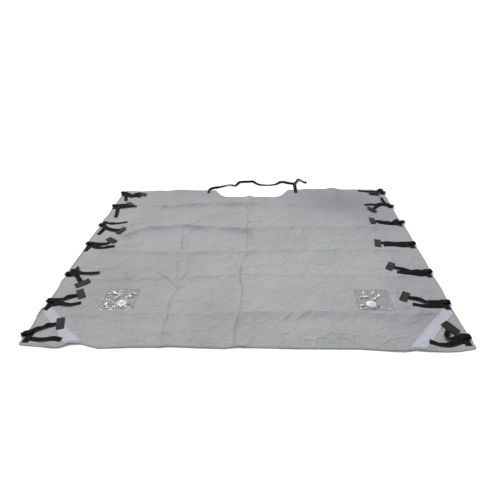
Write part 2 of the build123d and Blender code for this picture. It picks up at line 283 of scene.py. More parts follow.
def off_route(x, y, route):
    """Distance in plan from each point to a route, and the side of it each lies on (+1 left)."""
    nearest = np.full_like(x, 9.0)
    side = np.ones_like(x)
    for (ax, ay), (bx, by) in zip(route, route[1:]):
        length = np.hypot(bx - ax, by - ay)
        dx, dy = (bx - ax) / length, (by - ay) / length
        along = np.clip((x - ax) * dx + (y - ay) * dy, 0, length)
        gap = np.hypot(x - ax - along * dx, y - ay - along * dy)
        turned = (y - ay) * dx - (x - ax) * dy
        side = np.where(gap < nearest, np.sign(turned + 1e-9), side)
        nearest = np.minimum(nearest, gap)
    return nearest, side


def fold_shape(x, y):
    """Raised line along each route: the height falls away as a narrow bell on one side of the
    route and a wide one on the other. Returns the summed height, the darkest painted shade
    line along the routes and the soft painted shade on the narrow side of each fold."""
    wander_x = x + 0.0040 * np.sin(29 * y + 1.0) + 0.0022 * np.sin(71 * y + 17 * x)
    wander_y = y + 0.0040 * np.sin(26 * x + 0.6) + 0.0022 * np.sin(63 * x - 21 * y)
    height = np.zeros_like(x)
    line_shade = np.zeros_like(x)
    side_shade = np.zeros_like(x)
    for rise, steep, slack, dark, route in folds:
        nearest, side = off_route(wander_x, wander_y, route)
        reach = np.where(side > 0, slack, steep)
        faint = 0.62 + 0.24 * np.sin(x * 19 + y * 13 + rise * 4000) + 0.14 * np.sin(x * 57 - y * 49 + 2)
        height += rise * (0.45 + 0.55 * faint) * np.exp(-(nearest / reach) ** 1.5)
        # Painted shade: a thin dark line along each fold.
        line_shade = np.maximum(line_shade, dark * np.clip(faint, 0, 1) * np.exp(-(nearest / 0.0052) ** 2))
        # Painted shade: a soft dark band on the narrow side of each fold.
        shade = min(14000 * dark * rise ** 2 + 0.1 * dark, 1.0) * np.clip(faint, 0.3, 1) * (side < 0)
        side_shade = np.maximum(side_shade, shade * np.exp(-(nearest / steep) ** 2))
    return height, line_shade, side_shade


def lift(x, y):
    """Height of the underside over the floor: low crossed waves, the swells and the folds."""
    x, y = np.broadcast_arrays(np.asarray(x, float), np.asarray(y, float))
    waves = (np.sin(5.1 * x + 2.3 * y + 0.4) + np.sin(-3.2 * x + 6.4 * y + 1.9)
             + np.sin(8.3 * x + 7.1 * y + 4.2) * 0.6 + np.sin(13.0 * x - 11.0 * y) * 0.4
             + np.sin(21.0 * x + 4.0 * y) * 0.22 + np.sin(-5.0 * x + 24.0 * y) * 0.22)
    height = 0.0008 * (waves + 3.2)
    for rise, (cx, cy), (sx, sy) in swells:
        height = height + rise * np.exp(-((x - cx) / sx) ** 2 - ((y - cy) / sy) ** 2)
    return height + fold_shape(x, y)[0]


# The edges aren't dead straight: how far each strays outward at points along it.
front_stray = ([-1.25, -1.13, -1.03, -1.005, -0.965, -0.90, -0.85, -0.79, -0.62, -0.46, -0.41, -0.25,
                -0.10, -0.03, 0.05, 0.30, 0.62, 0.80, 0.87, 0.93, 1.00, 1.08, 1.15, 1.25],
               [0.002, 0.014, 0.022, 0.018, -0.006, -0.008, 0.008, 0.024, 0.014, 0.012, 0.006, 0.013,
                0.018, 0.006, 0.010, 0.015, 0.013, 0.026, 0.027, 0.018, 0.026, 0.030, 0.026, 0.004])
rear_stray = ([-1.25, -1.05, -0.90, -0.80, -0.72, -0.64, -0.55, -0.46, -0.40, 0.40, 0.52, 0.62, 0.75,
               0.90, 1.05, 1.25],
              [-0.004, -0.014, 0.006, -0.014, 0.006, 0.010, -0.010, 0.003, 0.0, 0.004, 0.010, 0.006,
               0.014, 0.004, -0.006, -0.004])
left_stray = ([-1.0, -0.93, -0.85, -0.76, -0.66, -0.50, -0.42, -0.36, -0.30, -0.10, 0.0, 0.10, 0.22,
               0.34, 0.42, 0.50, 0.58, 0.66, 0.80, 0.93, 1.0],
              [0.003, -0.003, -0.006, 0.002, -0.006, -0.010, 0.002, -0.010, 0.002, -0.004, -0.006,
               0.001, -0.005, -0.008, -0.004, -0.018, -0.015, -0.008, -0.014, -0.013, -0.018])
right_stray = ([-1.0, -0.93, -0.75, -0.65, -0.50, -0.34, -0.20, 0.02, 0.20, 0.33, 0.40, 0.50, 0.655,
                0.72, 0.80, 0.93, 1.0],
               [0.005, 0.0, -0.004, -0.006, 0.002, -0.005, 0.003, -0.002, 0.003, 0.0, -0.010, -0.014,
                -0.010, -0.012, -0.008, -0.018, -0.028])


def stray(x, y):
    """Plan place after the edges' straying, which fades out over a hand's breadth inward."""
    front = np.exp(-((y + half_depth) / 0.10) ** 2) * np.interp(x, *front_stray)
    rear = np.exp(-((half_depth - y) / 0.10) ** 2) * np.interp(x, *rear_stray)
    left = np.exp(-((x + half_width) / 0.08) ** 2) * np.interp(y, *left_stray)
    right_side = np.exp(-((half_width - x) / 0.08) ** 2) * np.interp(y, *right_stray)
    return x - left + right_side, y - front + rear


def crowded(low, high, lines, coarse=0.0088, fine=0.0046, reach=0.026):
    """Grid lines from low to high whose spacing shrinks from coarse to fine beside given lines."""
    axis = np.linspace(low, high, 4001)
    gap = np.min(np.abs(axis[:, None] - np.array(lines)[None, :]), axis=1)
    spacing = fine + (coarse - fine) * (1 - np.exp(-(gap / reach) ** 2))
    count = np.concatenate([[0], np.cumsum(np.diff(axis) / spacing[1:])])
    return np.interp(np.linspace(0, count[-1], int(np.ceil(count[-1])) + 1), count, axis)


def neck_reach(x):
    """How far the cut-out comes in from the rear edge at each x: sloped sides, rounded floor."""
    slope = (neck_half - np.abs(x)) / (neck_half - neck_floor_half)
    share = np.clip(slope, 0, 1.6)
    eased = np.where(share < 0.62, share, 1 - 0.38 * np.exp(-(share - 0.62) / 0.38 * 1.05))
    return neck_depth * np.clip(eased, 0, 1) * (share > 0)


# The grid closes up beside the main fold lines and the sides of the cut-out.
border = 0.004
fold_columns = [-0.53, -0.44, -0.025, 0.34, 0.42, -neck_half, neck_half]
fold_rows = [0.69, 0.285, -0.072, -0.385, -0.745]
columns = crowded(-half_width + border, half_width - border, fold_columns)
rows = crowded(-half_depth + border, half_depth - border, fold_rows, reach=0.028)
plan_x, plan_y = np.meshgrid(columns, rows)
squeeze_from = 0.45
share = np.clip((plan_y - squeeze_from) / (half_depth - border - squeeze_from), 0, 1)
plan_y = plan_y - share * neck_reach(plan_x)
crease_line_shade, fold_side_shade = fold_shape(plan_x, plan_y)[1:]
stray_x, stray_y = stray(plan_x, plan_y)
top = lift(plan_x, plan_y) + fabric

sheet_panel = surface("sheet_fabric", np.stack([stray_x, stray_y, top], -1))
# Painted shade along the fold lines, kept on the sheet's points.
crease_shade_layer = sheet_panel.data.attributes.new("crease_shade", "FLOAT", "POINT")
crease_shade_layer.data.foreach_set("value", crease_line_shade.astype(np.float32).ravel())

# Painted shade where the light is weaker, mostly at the right and the rear: strength, centre, then
# half-lengths.
painted_shading = [
    (0.72, (0.80, 0.72), (0.42, 0.30)),
    (0.30, (0.0, 0.95), (1.4, 0.32)),
    (0.22, (-0.75, 0.45), (0.4, 0.25)),
    (0.42, (1.10, 0.1), (0.34, 0.8)),
    (0.34, (1.05, -0.80), (0.4, 0.3)),
    (0.20, (-0.95, -0.6), (0.4, 0.4)),
]
# Painted shade: the patches above and the shade on the folds' narrow sides, together.
painted_shade = np.minimum(sum(strength * np.exp(-((plan_x - cx) / sx) ** 2 - ((plan_y - cy) / sy) ** 2)
                      for strength, (cx, cy), (sx, sy) in painted_shading) + fold_side_shade, 1.0)
painted_shade_layer = sheet_panel.data.attributes.new("painted_shade", "FLOAT", "POINT")
painted_shade_layer.data.foreach_set("value", painted_shade.astype(np.float32).ravel())


def weave_group():
    """Shared plain weave: crossed yarns as the product of two waves, on coordinates in metres."""
    group = bpy.data.node_groups.new("plain_weave", "ShaderNodeTree")
    group.interface.new_socket(name="Place", in_out="INPUT", socket_type="NodeSocketVector")
    group.interface.new_socket(name="Yarns", in_out="INPUT", socket_type="NodeSocketFloat")
    group.interface.new_socket(name="Height", in_out="OUTPUT", socket_type="NodeSocketFloat")
    ends = place(group, "NodeGroupInput")
    scaled = place(group, "ShaderNodeVectorMath", {0: ends.outputs["Place"], 3: ends.outputs["Yarns"]},
                   operation="SCALE")
    parts = place(group, "ShaderNodeSeparateXYZ", {0: scaled.outputs[0]})
    warp = place(group, "ShaderNodeMath", {0: parts.outputs["X"]}, operation="SINE")
    weft = place(group, "ShaderNodeMath", {0: parts.outputs["Y"]}, operation="SINE")
    both = place(group, "ShaderNodeMath", {0: warp.outputs[0], 1: weft.outputs[0]}, operation="MULTIPLY")
    raised = place(group, "ShaderNodeMath", {0: both.outputs[0], 1: 0.5, 2: 0.5}, operation="MULTIPLY_ADD")
    out = place(group, "NodeGroupOutput")
    group.links.new(raised.outputs[0], out.inputs["Height"])
    return group


def crumple_group():
    """Shared crumple: short random kinks from the edges of warped cells, and soft dents."""
    group = bpy.data.node_groups.new("crumple", "ShaderNodeTree")
    group.interface.new_socket(name="Place", in_out="INPUT", socket_type="NodeSocketVector")
    group.interface.new_socket(name="Size", in_out="INPUT", socket_type="NodeSocketFloat")
    group.interface.new_socket(name="Height", in_out="OUTPUT", socket_type="NodeSocketFloat")
    ends = place(group, "NodeGroupInput")
    warp = place(group, "ShaderNodeTexNoise", {"Vector": ends.outputs["Place"], "Scale": 6.0, "Detail": 3.0})
    pushed = place(group, "ShaderNodeVectorMath", {0: warp.outputs["Color"], 1: (0.16, 0.16, 0.16),
                                                   2: ends.outputs["Place"]}, operation="MULTIPLY_ADD")
    cells = place(group, "ShaderNodeTexVoronoi", {"Vector": pushed.outputs[0], "Scale": ends.outputs["Size"]},
                  feature="DISTANCE_TO_EDGE")
    kink = place(group, "ShaderNodeMapRange", {"Value": cells.outputs["Distance"], "From Max": 0.10,
                                               "To Min": 1.0, "To Max": 0.0}, interpolation_type="SMOOTHSTEP")
    patchy = place(group, "ShaderNodeTexNoise", {"Vector": ends.outputs["Place"], "Scale": 2.7,
                                                 "Detail": 2.0})
    some = place(group, "ShaderNodeMapRange", {"Value": patchy.outputs["Fac"], "From Min": 0.48,
                                               "From Max": 0.66})
    kinks = place(group, "ShaderNodeMath", {0: kink.outputs["Result"], 1: some.outputs["Result"]},
                  operation="MULTIPLY")
    dents = place(group, "ShaderNodeTexNoise", {"Vector": ends.outputs["Place"], "Scale": 17.0, "Detail": 4.0,
                                                "Distortion": 0.8})
    total = place(group, "ShaderNodeMath", {0: kinks.outputs[0], 1: 0.35, 2: dents.outputs["Fac"]},
                  operation="MULTIPLY_ADD")
    out = place(group, "NodeGroupOutput")
    group.links.new(total.outputs[0], out.inputs["Height"])
    return group


weave = weave_group()
crumple = crumple_group()


def coated_fabric(name, light, dark, kink_depth):
    """Matt coated polyester: cloudy grey, with painted shade along the creases and in patches, weave and
    kinks as bump.
    """
    material, tree, shader = blank_material(name)
    place_on = place(tree, "ShaderNodeTexCoord").outputs["Object"]
    cloud = place(tree, "ShaderNodeTexNoise", {"Vector": place_on, "Scale": 1.5, "Detail": 4.0,
                                               "Roughness": 0.6})
    tone = place(tree, "ShaderNodeMapRange", {"Value": cloud.outputs["Fac"], "From Min": 0.30,
                                              "From Max": 0.70})
    colour = place(tree, "ShaderNodeMix", {0: tone.outputs["Result"], 6: dark, 7: light}, data_type="RGBA")
    tint = place(tree, "ShaderNodeTexNoise", {"Vector": place_on, "Scale": 2.6, "Detail": 1.0})
    cool = place(tree, "ShaderNodeMapRange", {"Value": tint.outputs["Fac"], "From Min": 0.52,
                                              "From Max": 0.70, "To Max": 0.55})
    cooled = place(tree, "ShaderNodeMix", {0: cool.outputs["Result"], 6: colour.outputs[2],
                                           7: (0.282, 0.302, 0.305, 1)}, data_type="RGBA")
    speck = place(tree, "ShaderNodeTexNoise", {"Vector": place_on, "Scale": 95.0, "Detail": 3.0})
    fleck = place(tree, "ShaderNodeMapRange", {"Value": speck.outputs["Fac"], "From Min": 0.30,
                                               "From Max": 0.70, "To Min": 0.91, "To Max": 1.08})
    flecked = place(tree, "ShaderNodeVectorMath", {0: cooled.outputs[2], 3: fleck.outputs["Result"]},
                    operation="SCALE")
    # Painted shade: patches and the folds' narrow sides darkened toward a lavender grey.
    painted_shade_amount = place(tree, "ShaderNodeAttribute", attribute_name="painted_shade")
    painted_shading = place(tree, "ShaderNodeMix", {0: painted_shade_amount.outputs["Fac"], 6: flecked.outputs[0],
                                           7: (0.195, 0.195, 0.216, 1)}, data_type="RGBA")
    # Painted shade along the fold lines.
    crease_shade = place(tree, "ShaderNodeAttribute", attribute_name="crease_shade")
    crease_shaded = place(tree, "ShaderNodeMix", {0: crease_shade.outputs["Fac"], 6: painted_shading.outputs[2],
                                          7: (0.155, 0.155, 0.163, 1)}, data_type="RGBA")
    tree.links.new(crease_shaded.outputs[2], shader.inputs["Base Color"])
    yarns = place(tree, "ShaderNodeGroup", {"Place": place_on, "Yarns": 4200.0}, node_tree=weave)
    kinks = place(tree, "ShaderNodeGroup", {"Place": place_on, "Size": 7.0}, node_tree=crumple)
    coarse = place(tree, "ShaderNodeBump", {"Strength": 0.55, "Distance": kink_depth,
                                            "Height": kinks.outputs["Height"]})
    fine = place(tree, "ShaderNodeBump", {"Strength": 0.25, "Distance": 0.0004,
                                          "Height": yarns.outputs["Height"], "Normal": coarse.outputs[0]})
    tree.links.new(fine.outputs[0], shader.inputs["Normal"])
    rough = place(tree, "ShaderNodeMapRange", {"Value": cloud.outputs["Fac"], "To Min": 0.62, "To Max": 0.74})
    tree.links.new(rough.outputs["Result"], shader.inputs["Roughness"])
    shader.inputs["Specular IOR Level"].default_value = 0.22
    return material


sheet_cloth = coated_fabric("grey_coated_fabric", (0.345, 0.347, 0.354, 1), (0.268, 0.270, 0.280, 1), 0.0160)
dress(sheet_panel, sheet_cloth)
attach(sheet_panel, "sheet")
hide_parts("sheet_panel")

# ---- Edge hem ---------------------------------------------------------------------------------
# The border of the same fabric turned over twice and sewn down with one row of grey stitches,
# all the way round, with the cut-out's edge.


def rounded_outline(corners, radii, step):
    """Closed outline in plan: straight runs between corners, each corner rounded by an arc."""
    corners = np.array(corners, float)
    pieces = []
    for before, corner, after, radius in zip(np.roll(corners, 1, 0), corners, np.roll(corners, -1, 0), radii):
        into = (corner - before) / np.linalg.norm(corner - before)
        away = (after - corner) / np.linalg.norm(after - corner)
        bend = np.arctan2(into[0] * away[1] - into[1] * away[0], into @ away)
        start = corner - into * radius * np.tan(abs(bend) / 2)
        inward = np.array([-into[1], into[0]]) * np.sign(bend)
        centre = start + inward * radius
        angles = np.linspace(0, bend, max(3, int(abs(bend) * radius / step) + 3))[:, None]
        spoke = -inward
        turned = spoke * np.cos(angles) + np.array([-spoke[1], spoke[0]]) * np.sin(angles)
        pieces.append(centre + radius * turned)
    loop = []
    for piece, following in zip(pieces, pieces[1:] + pieces[:1]):
        gap = np.linalg.norm(following[0] - piece[-1])
        shares = np.linspace(0, 1, max(2, int(gap / step)), endpoint=False)[1:, None]
        loop += [piece, piece[-1] + shares * (following[0] - piece[-1])]
    return np.concatenate(loop)


outline = rounded_outline(
    [(-half_width, -half_depth), (half_width, -half_depth), (half_width, half_depth),
     (neck_half, half_depth), (neck_floor_half, half_depth - neck_depth),
     (-neck_floor_half, half_depth - neck_depth), (-neck_half, half_depth), (-half_width, half_depth)],
    [0.02, 0.02, 0.02, 0.016, 0.12, 0.12, 0.016, 0.02], 0.009)
outline_run = np.roll(outline, -1, 0) - np.roll(outline, 1, 0)
outline_run /= np.linalg.norm(outline_run, axis=1)[:, None]
outline_inward = np.column_stack([-outline_run[:, 1], outline_run[:, 0]])

# The turned hem's section, inward distance and height: a full outer roll and a thin inner lip.
hem_section = np.array([(0.0000, 0.0009), (0.0006, 0.0016), (0.0022, 0.0021), (0.0060, 0.0020),
                        (0.0086, 0.0015), (0.0100, 0.0013), (0.0118, 0.0016), (0.0126, 0.0011),
                        (0.0122, -0.0001), (0.0060, 0.0000), (0.0008, 0.0001)])
hem_plan = outline[:, None, :] + outline_inward[:, None, :] * hem_section[None, :, :1]
hem_base = lift(hem_plan[..., 0], hem_plan[..., 1])
hem_x, hem_y = stray(hem_plan[..., 0], hem_plan[..., 1])
hem_points = np.stack([hem_x, hem_y, hem_base + hem_section[None, :, 1]], -1)
hem_points = np.concatenate([hem_points, hem_points[:1]])
edge_hem = surface("edge_hem_fabric", hem_points[:, ::-1], ring=True)
dress(edge_hem, coated_fabric("grey_hem_fabric", (0.285, 0.288, 0.294, 1), (0.235, 0.238, 0.246, 1), 0.0016))
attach(edge_hem, "sheet")
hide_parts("edge_hem")


def stitches(name, places, runs, colour_material, length=0.0034, radius=0.00035):
    """Row of thread stitches: the same small five-sided spindle set at each place along its run."""
    rings = np.array([(-0.5, 0.15), (-0.32, 0.9), (0.32, 0.9), (0.5, 0.15)])
    angles = np.linspace(0, 2 * np.pi, 5, endpoint=False)
    runs = runs / np.linalg.norm(runs, axis=1)[:, None]
    across = np.cross(runs, [0, 0, 1.0])
    across /= np.linalg.norm(across, axis=1)[:, None] + 1e-9
    rise = np.cross(across, runs)
    spread = (across[:, None, None] * np.cos(angles)[None, None, :, None]
              + rise[:, None, None] * np.sin(angles)[None, None, :, None]) * rings[None, :, None, 1:] * radius
    places = np.column_stack([places[:, :2], settle(places[:, 2])])
    points = places[:, None, None] + runs[:, None, None] * rings[None, :, None, :1] * length + spread
    count = len(places)
    index = np.arange(count * 20).reshape(count, 4, 5)
    side = np.roll(index, -1, axis=2)
    quads = np.stack([index[:, :-1], side[:, :-1], side[:, 1:], index[:, 1:]], -1).reshape(-1, 4)
    faces = quads.tolist() + index[:, 0, ::-1].tolist() + index[:, 3].tolist()
    mesh = bpy.data.meshes.new(name)
    mesh.from_pydata(points.reshape(-1, 3).tolist(), [], faces)
    mesh.shade_smooth()
    row = bpy.data.objects.new(name, mesh)
    bpy.context.scene.collection.objects.link(row)
    dress(row, colour_material)
    return row


def thread(name, colour):
    """Twisted polyester thread: diagonal ply lines and a slight change of tone."""
    material, tree, shader = blank_material(name)
    place_on = place(tree, "ShaderNodeTexCoord").outputs["Object"]
    ply = place(tree, "ShaderNodeTexWave", {"Vector": place_on, "Scale": 900.0, "Distortion": 1.0})
    tone = place(tree, "ShaderNodeMapRange", {"Value": ply.outputs["Fac"], "To Min": 0.75, "To Max": 1.1})
    shaded = place(tree, "ShaderNodeVectorMath", {0: colour, 3: tone.outputs["Result"]}, operation="SCALE")
    tree.links.new(shaded.outputs[0], shader.inputs["Base Color"])
    bump = place(tree, "ShaderNodeBump", {"Strength": 0.4, "Distance": 0.0002, "Height": ply.outputs["Fac"]})
    tree.links.new(bump.outputs[0], shader.inputs["Normal"])
    shader.inputs["Roughness"].default_value = 0.55
    return material


grey_thread = thread("grey_thread", (0.10, 0.10, 0.105))
black_thread = thread("black_thread", (0.035, 0.034, 0.036))
hem_line = outline + outline_inward * 0.0100
hem_steps = np.concatenate([[0], np.cumsum(np.linalg.norm(np.diff(hem_line, axis=0), axis=1))])
hem_stops = np.arange(0, hem_steps[-1], 0.0046)
seam_x = np.interp(hem_stops, hem_steps, hem_line[:, 0])
seam_y = np.interp(hem_stops, hem_steps, hem_line[:, 1])
seam_z = lift(seam_x, seam_y) + 0.0014
seam_x, seam_y = stray(seam_x, seam_y)
seam = np.column_stack([seam_x, seam_y, seam_z])
hem_stitches = stitches("hem_stitching", seam[:-1], np.diff(seam, axis=0), grey_thread)
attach(hem_stitches, "sheet")

# ---- Reflective bands -------------------------------------------------------------------------
# Silver-white reflective tape with a fine pressed lozenge pattern, laid at 45 degrees across the
# two front corners and sewn along both edges. It puckers a little with the fabric under it.

band_leg = 0.275
band_width = 0.064
tape = 0.0004


def reflective_tape():
    """Pale bluish tape: lozenge cells, faint scuffs and cross wrinkles as bump."""
    material, tree, shader = blank_material("reflective_tape")
    uv = place(tree, "ShaderNodeUVMap", uv_map="cloth").outputs["UV"]
    cells = place(tree, "ShaderNodeTexVoronoi", {"Vector": uv, "Scale": 420.0, "Randomness": 0.0},
                  feature="DISTANCE_TO_EDGE")
    scuff = place(tree, "ShaderNodeTexNoise", {"Vector": uv, "Scale": 38.0, "Detail": 5.0, "Distortion": 0.6})
    tone = place(tree, "ShaderNodeMapRange", {"Value": scuff.outputs["Fac"], "From Min": 0.3,
                                              "From Max": 0.7})
    colour = place(tree, "ShaderNodeMix", {0: tone.outputs["Result"], 6: (0.315, 0.328, 0.375, 1),
                                           7: (0.370, 0.382, 0.435, 1)}, data_type="RGBA")
    tree.links.new(colour.outputs[2], shader.inputs["Base Color"])
    wrinkle = place(tree, "ShaderNodeTexWave", {"Vector": uv, "Scale": 9.0, "Distortion": 7.0, "Detail": 3.0})
    dents = place(tree, "ShaderNodeBump", {"Strength": 0.3, "Distance": 0.0008,
                                           "Height": wrinkle.outputs["Fac"]})
    pressed = place(tree, "ShaderNodeBump", {"Strength": 0.3, "Distance": 0.0003,
                                             "Height": cells.outputs["Distance"], "Normal": dents.outputs[0]})
    tree.links.new(pressed.outputs[0], shader.inputs["Normal"])
    shader.inputs["Roughness"].default_value = 0.62
    shader.inputs["Specular IOR Level"].default_value = 0.3
    return material


tape_finish = reflective_tape()
for side, side_name in ((-1, "left"), (1, "right")):
    reach = np.linspace(0, 1, 90)[:, None]
    across = np.linspace(0, 1, 15)[None, :]
    leg = band_leg + across * band_width * np.sqrt(2)
    trim = hem_width + 0.001
    from_side = trim + reach * (leg - 2 * trim)
    from_front = leg - from_side
    x = side * (half_width - from_side)
    y = -half_depth + from_front
    pucker = 0.0003 * np.abs(np.sin(reach * 23 + 1.5 * np.sin(reach * 9 + across * 3))) * np.ones_like(x)
    z = lift(x, y) + fabric + tape + pucker
    band_x, band_y = stray(x, y)
    uv = np.stack([reach * 0.42 + 0 * across, across * band_width + 0 * reach], -1)
    points = np.stack([band_x, band_y, z], -1)
    if side < 0:
        points, uv = points[:, ::-1], uv[:, ::-1]
    band = surface(f"reflective_band_{side_name}_tape", points, uv=uv)
    backing = band.modifiers.new("tape_thickness", "SOLIDIFY")
    backing.thickness = tape
    backing.offset = -1
    dress(band, tape_finish)
    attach(band, "sheet")
    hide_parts(f"reflective_band_{side_name}")
    for edge, inset in (("outer", 0.06), ("inner", 0.94)):
        stops = np.linspace(0.02, 0.98, 96)
        edge_leg = band_leg + inset * band_width * np.sqrt(2)
        run_side = trim + stops * (edge_leg - 2 * trim)
        sx = side * (half_width - run_side)
        sy = -half_depth + edge_leg - run_side
        sz = lift(sx, sy) + fabric + 2 * tape + 0.0002
        sx, sy = stray(sx, sy)
        line = np.column_stack([sx, sy, sz])
        row = stitches(f"band_stitching_{side_name}_{edge}", line[:-1], np.diff(line, axis=0), grey_thread)
        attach(row, "sheet")

# ---- Clear patches ----------------------------------------------------------------------------
# A square of clear soft film sewn at its edges over the fabric. The suction cup's foot pulls it
# into folds that run out from the cup and stand highest on the side nearer the front edge.


def clear_plastic(name, colour, veil, body, rough):
    """Clear soft plastic: mostly see-through, wet-looking, with a faint bloom and fine ripples, and painted
    white glints and painted dark shadow where the point attribute gives them.
    """
    material, tree, shader = blank_material(name)
    place_on = place(tree, "ShaderNodeTexCoord").outputs["Object"]
    bloom = place(tree, "ShaderNodeTexNoise", {"Vector": place_on, "Scale": 60.0, "Detail": 3.0})
    haze = place(tree, "ShaderNodeMapRange", {"Value": bloom.outputs["Fac"], "To Min": rough,
                                              "To Max": rough + 0.08})
    tree.links.new(haze.outputs["Result"], shader.inputs["Roughness"])
    tone = place(tree, "ShaderNodeMix", {0: bloom.outputs["Fac"], 6: colour, 7: veil},
                 data_type="RGBA")
    # Painted light: above zero a painted white glint, below zero a painted dark shadow; either makes the film
    # less clear.
    glint_and_shadow = place(tree, "ShaderNodeAttribute", attribute_name="glint_and_shadow").outputs["Fac"]
    dim = place(tree, "ShaderNodeMapRange", {"Value": glint_and_shadow, "From Min": 0.0, "From Max": -1.0})
    dimmed = place(tree, "ShaderNodeMix", {0: dim.outputs["Result"], 6: tone.outputs[2],
                                           7: (0.050, 0.045, 0.075, 1)}, data_type="RGBA")
    bright = place(tree, "ShaderNodeMix", {0: glint_and_shadow, 6: dimmed.outputs[2], 7: (0.97, 0.97, 0.98, 1)},
                   data_type="RGBA")
    tree.links.new(bright.outputs[2], shader.inputs["Base Color"])
    strength = place(tree, "ShaderNodeMath", {0: glint_and_shadow}, operation="ABSOLUTE")
    ripple = place(tree, "ShaderNodeTexNoise", {"Vector": place_on, "Scale": 42.0, "Detail": 3.0,
                                                "Distortion": 1.5})
    bump = place(tree, "ShaderNodeBump", {"Strength": 0.4, "Distance": 0.0012,
                                          "Height": ripple.outputs["Fac"]})
    tree.links.new(bump.outputs[0], shader.inputs["Normal"])
    see = place(tree, "ShaderNodeMapRange", {"Value": bloom.outputs["Fac"], "To Min": body,
                                             "To Max": body + 0.10})
    solid = place(tree, "ShaderNodeMath", {0: see.outputs["Result"], 1: strength.outputs[0]},
                  operation="ADD", use_clamp=True)
    tree.links.new(solid.outputs[0], shader.inputs["Alpha"])
    shader.inputs["IOR"].default_value = 1.55
    shader.inputs["Specular IOR Level"].default_value = 0.4
    shader.inputs["Coat Weight"].default_value = 0.15
    shader.inputs["Coat Roughness"].default_value = 0.05
    shader.inputs["Coat IOR"].default_value = 1.45
    return material


pale_thread = thread("pale_thread", (0.30, 0.30, 0.305))
film_clear = clear_plastic("clear_film", (0.22, 0.22, 0.215, 1), (0.29, 0.29, 0.285, 1), 0.05, 0.10)
cup_clear = clear_plastic("clear_cup_plastic", (0.72, 0.72, 0.76, 1), (0.97, 0.97, 0.99, 1), 0.55, 0.10)

# Folds pulled in the film: direction from the cup in degrees, distance out, height, half-width.
pulls = [(128, 0.066, 0.0090, 0.0095), (150, 0.084, 0.0060, 0.0080), (52, 0.074, 0.0080, 0.0090),
         (92, 0.062, 0.0060, 0.0080), (196, 0.058, 0.0080, 0.0095), (336, 0.056, 0.0080, 0.0095)]
# Sharp kinks between them, raised, with painted white glints along them: routes from the cup's centre.
kinks = {
    "left": [[(-0.107, 0.090), (-0.055, 0.092), (-0.031, 0.068), (-0.055, 0.034)],
             [(-0.090, 0.112), (-0.060, 0.096)],
             [(0.036, 0.098), (0.090, 0.078)],
             [(0.028, 0.074), (0.044, 0.050)],
             [(-0.128, -0.046), (-0.106, -0.022), (-0.088, -0.006)],
             [(-0.094, 0.008), (-0.084, -0.034)],
             [(-0.110, -0.050), (-0.072, -0.046)],
             [(0.012, -0.050), (0.046, -0.048), (0.082, -0.060)],
             [(-0.034, -0.052), (-0.012, -0.046)]],
    "right": [[(-0.026, 0.122), (-0.020, 0.094)],
              [(0.038, 0.120), (0.028, 0.092)],
              [(-0.056, 0.062), (-0.034, 0.070), (-0.012, 0.060)],
              [(0.026, 0.040), (0.050, 0.062), (0.072, 0.090)],
              [(-0.100, -0.044), (-0.078, -0.018), (-0.052, -0.010)],
              [(-0.084, -0.052), (-0.040, -0.044)],
              [(-0.026, -0.056), (0.010, -0.060), (0.040, -0.054)],
              [(0.056, -0.034), (0.078, -0.048), (0.128, -0.052)]],
}
# Route of a painted shadow under the cup's lip, from the cup's centre.
lip_shadow_route = [(-0.052, -0.022), (-0.030, -0.041), (0.000, -0.046), (0.030, -0.040), (0.050, -0.014)]
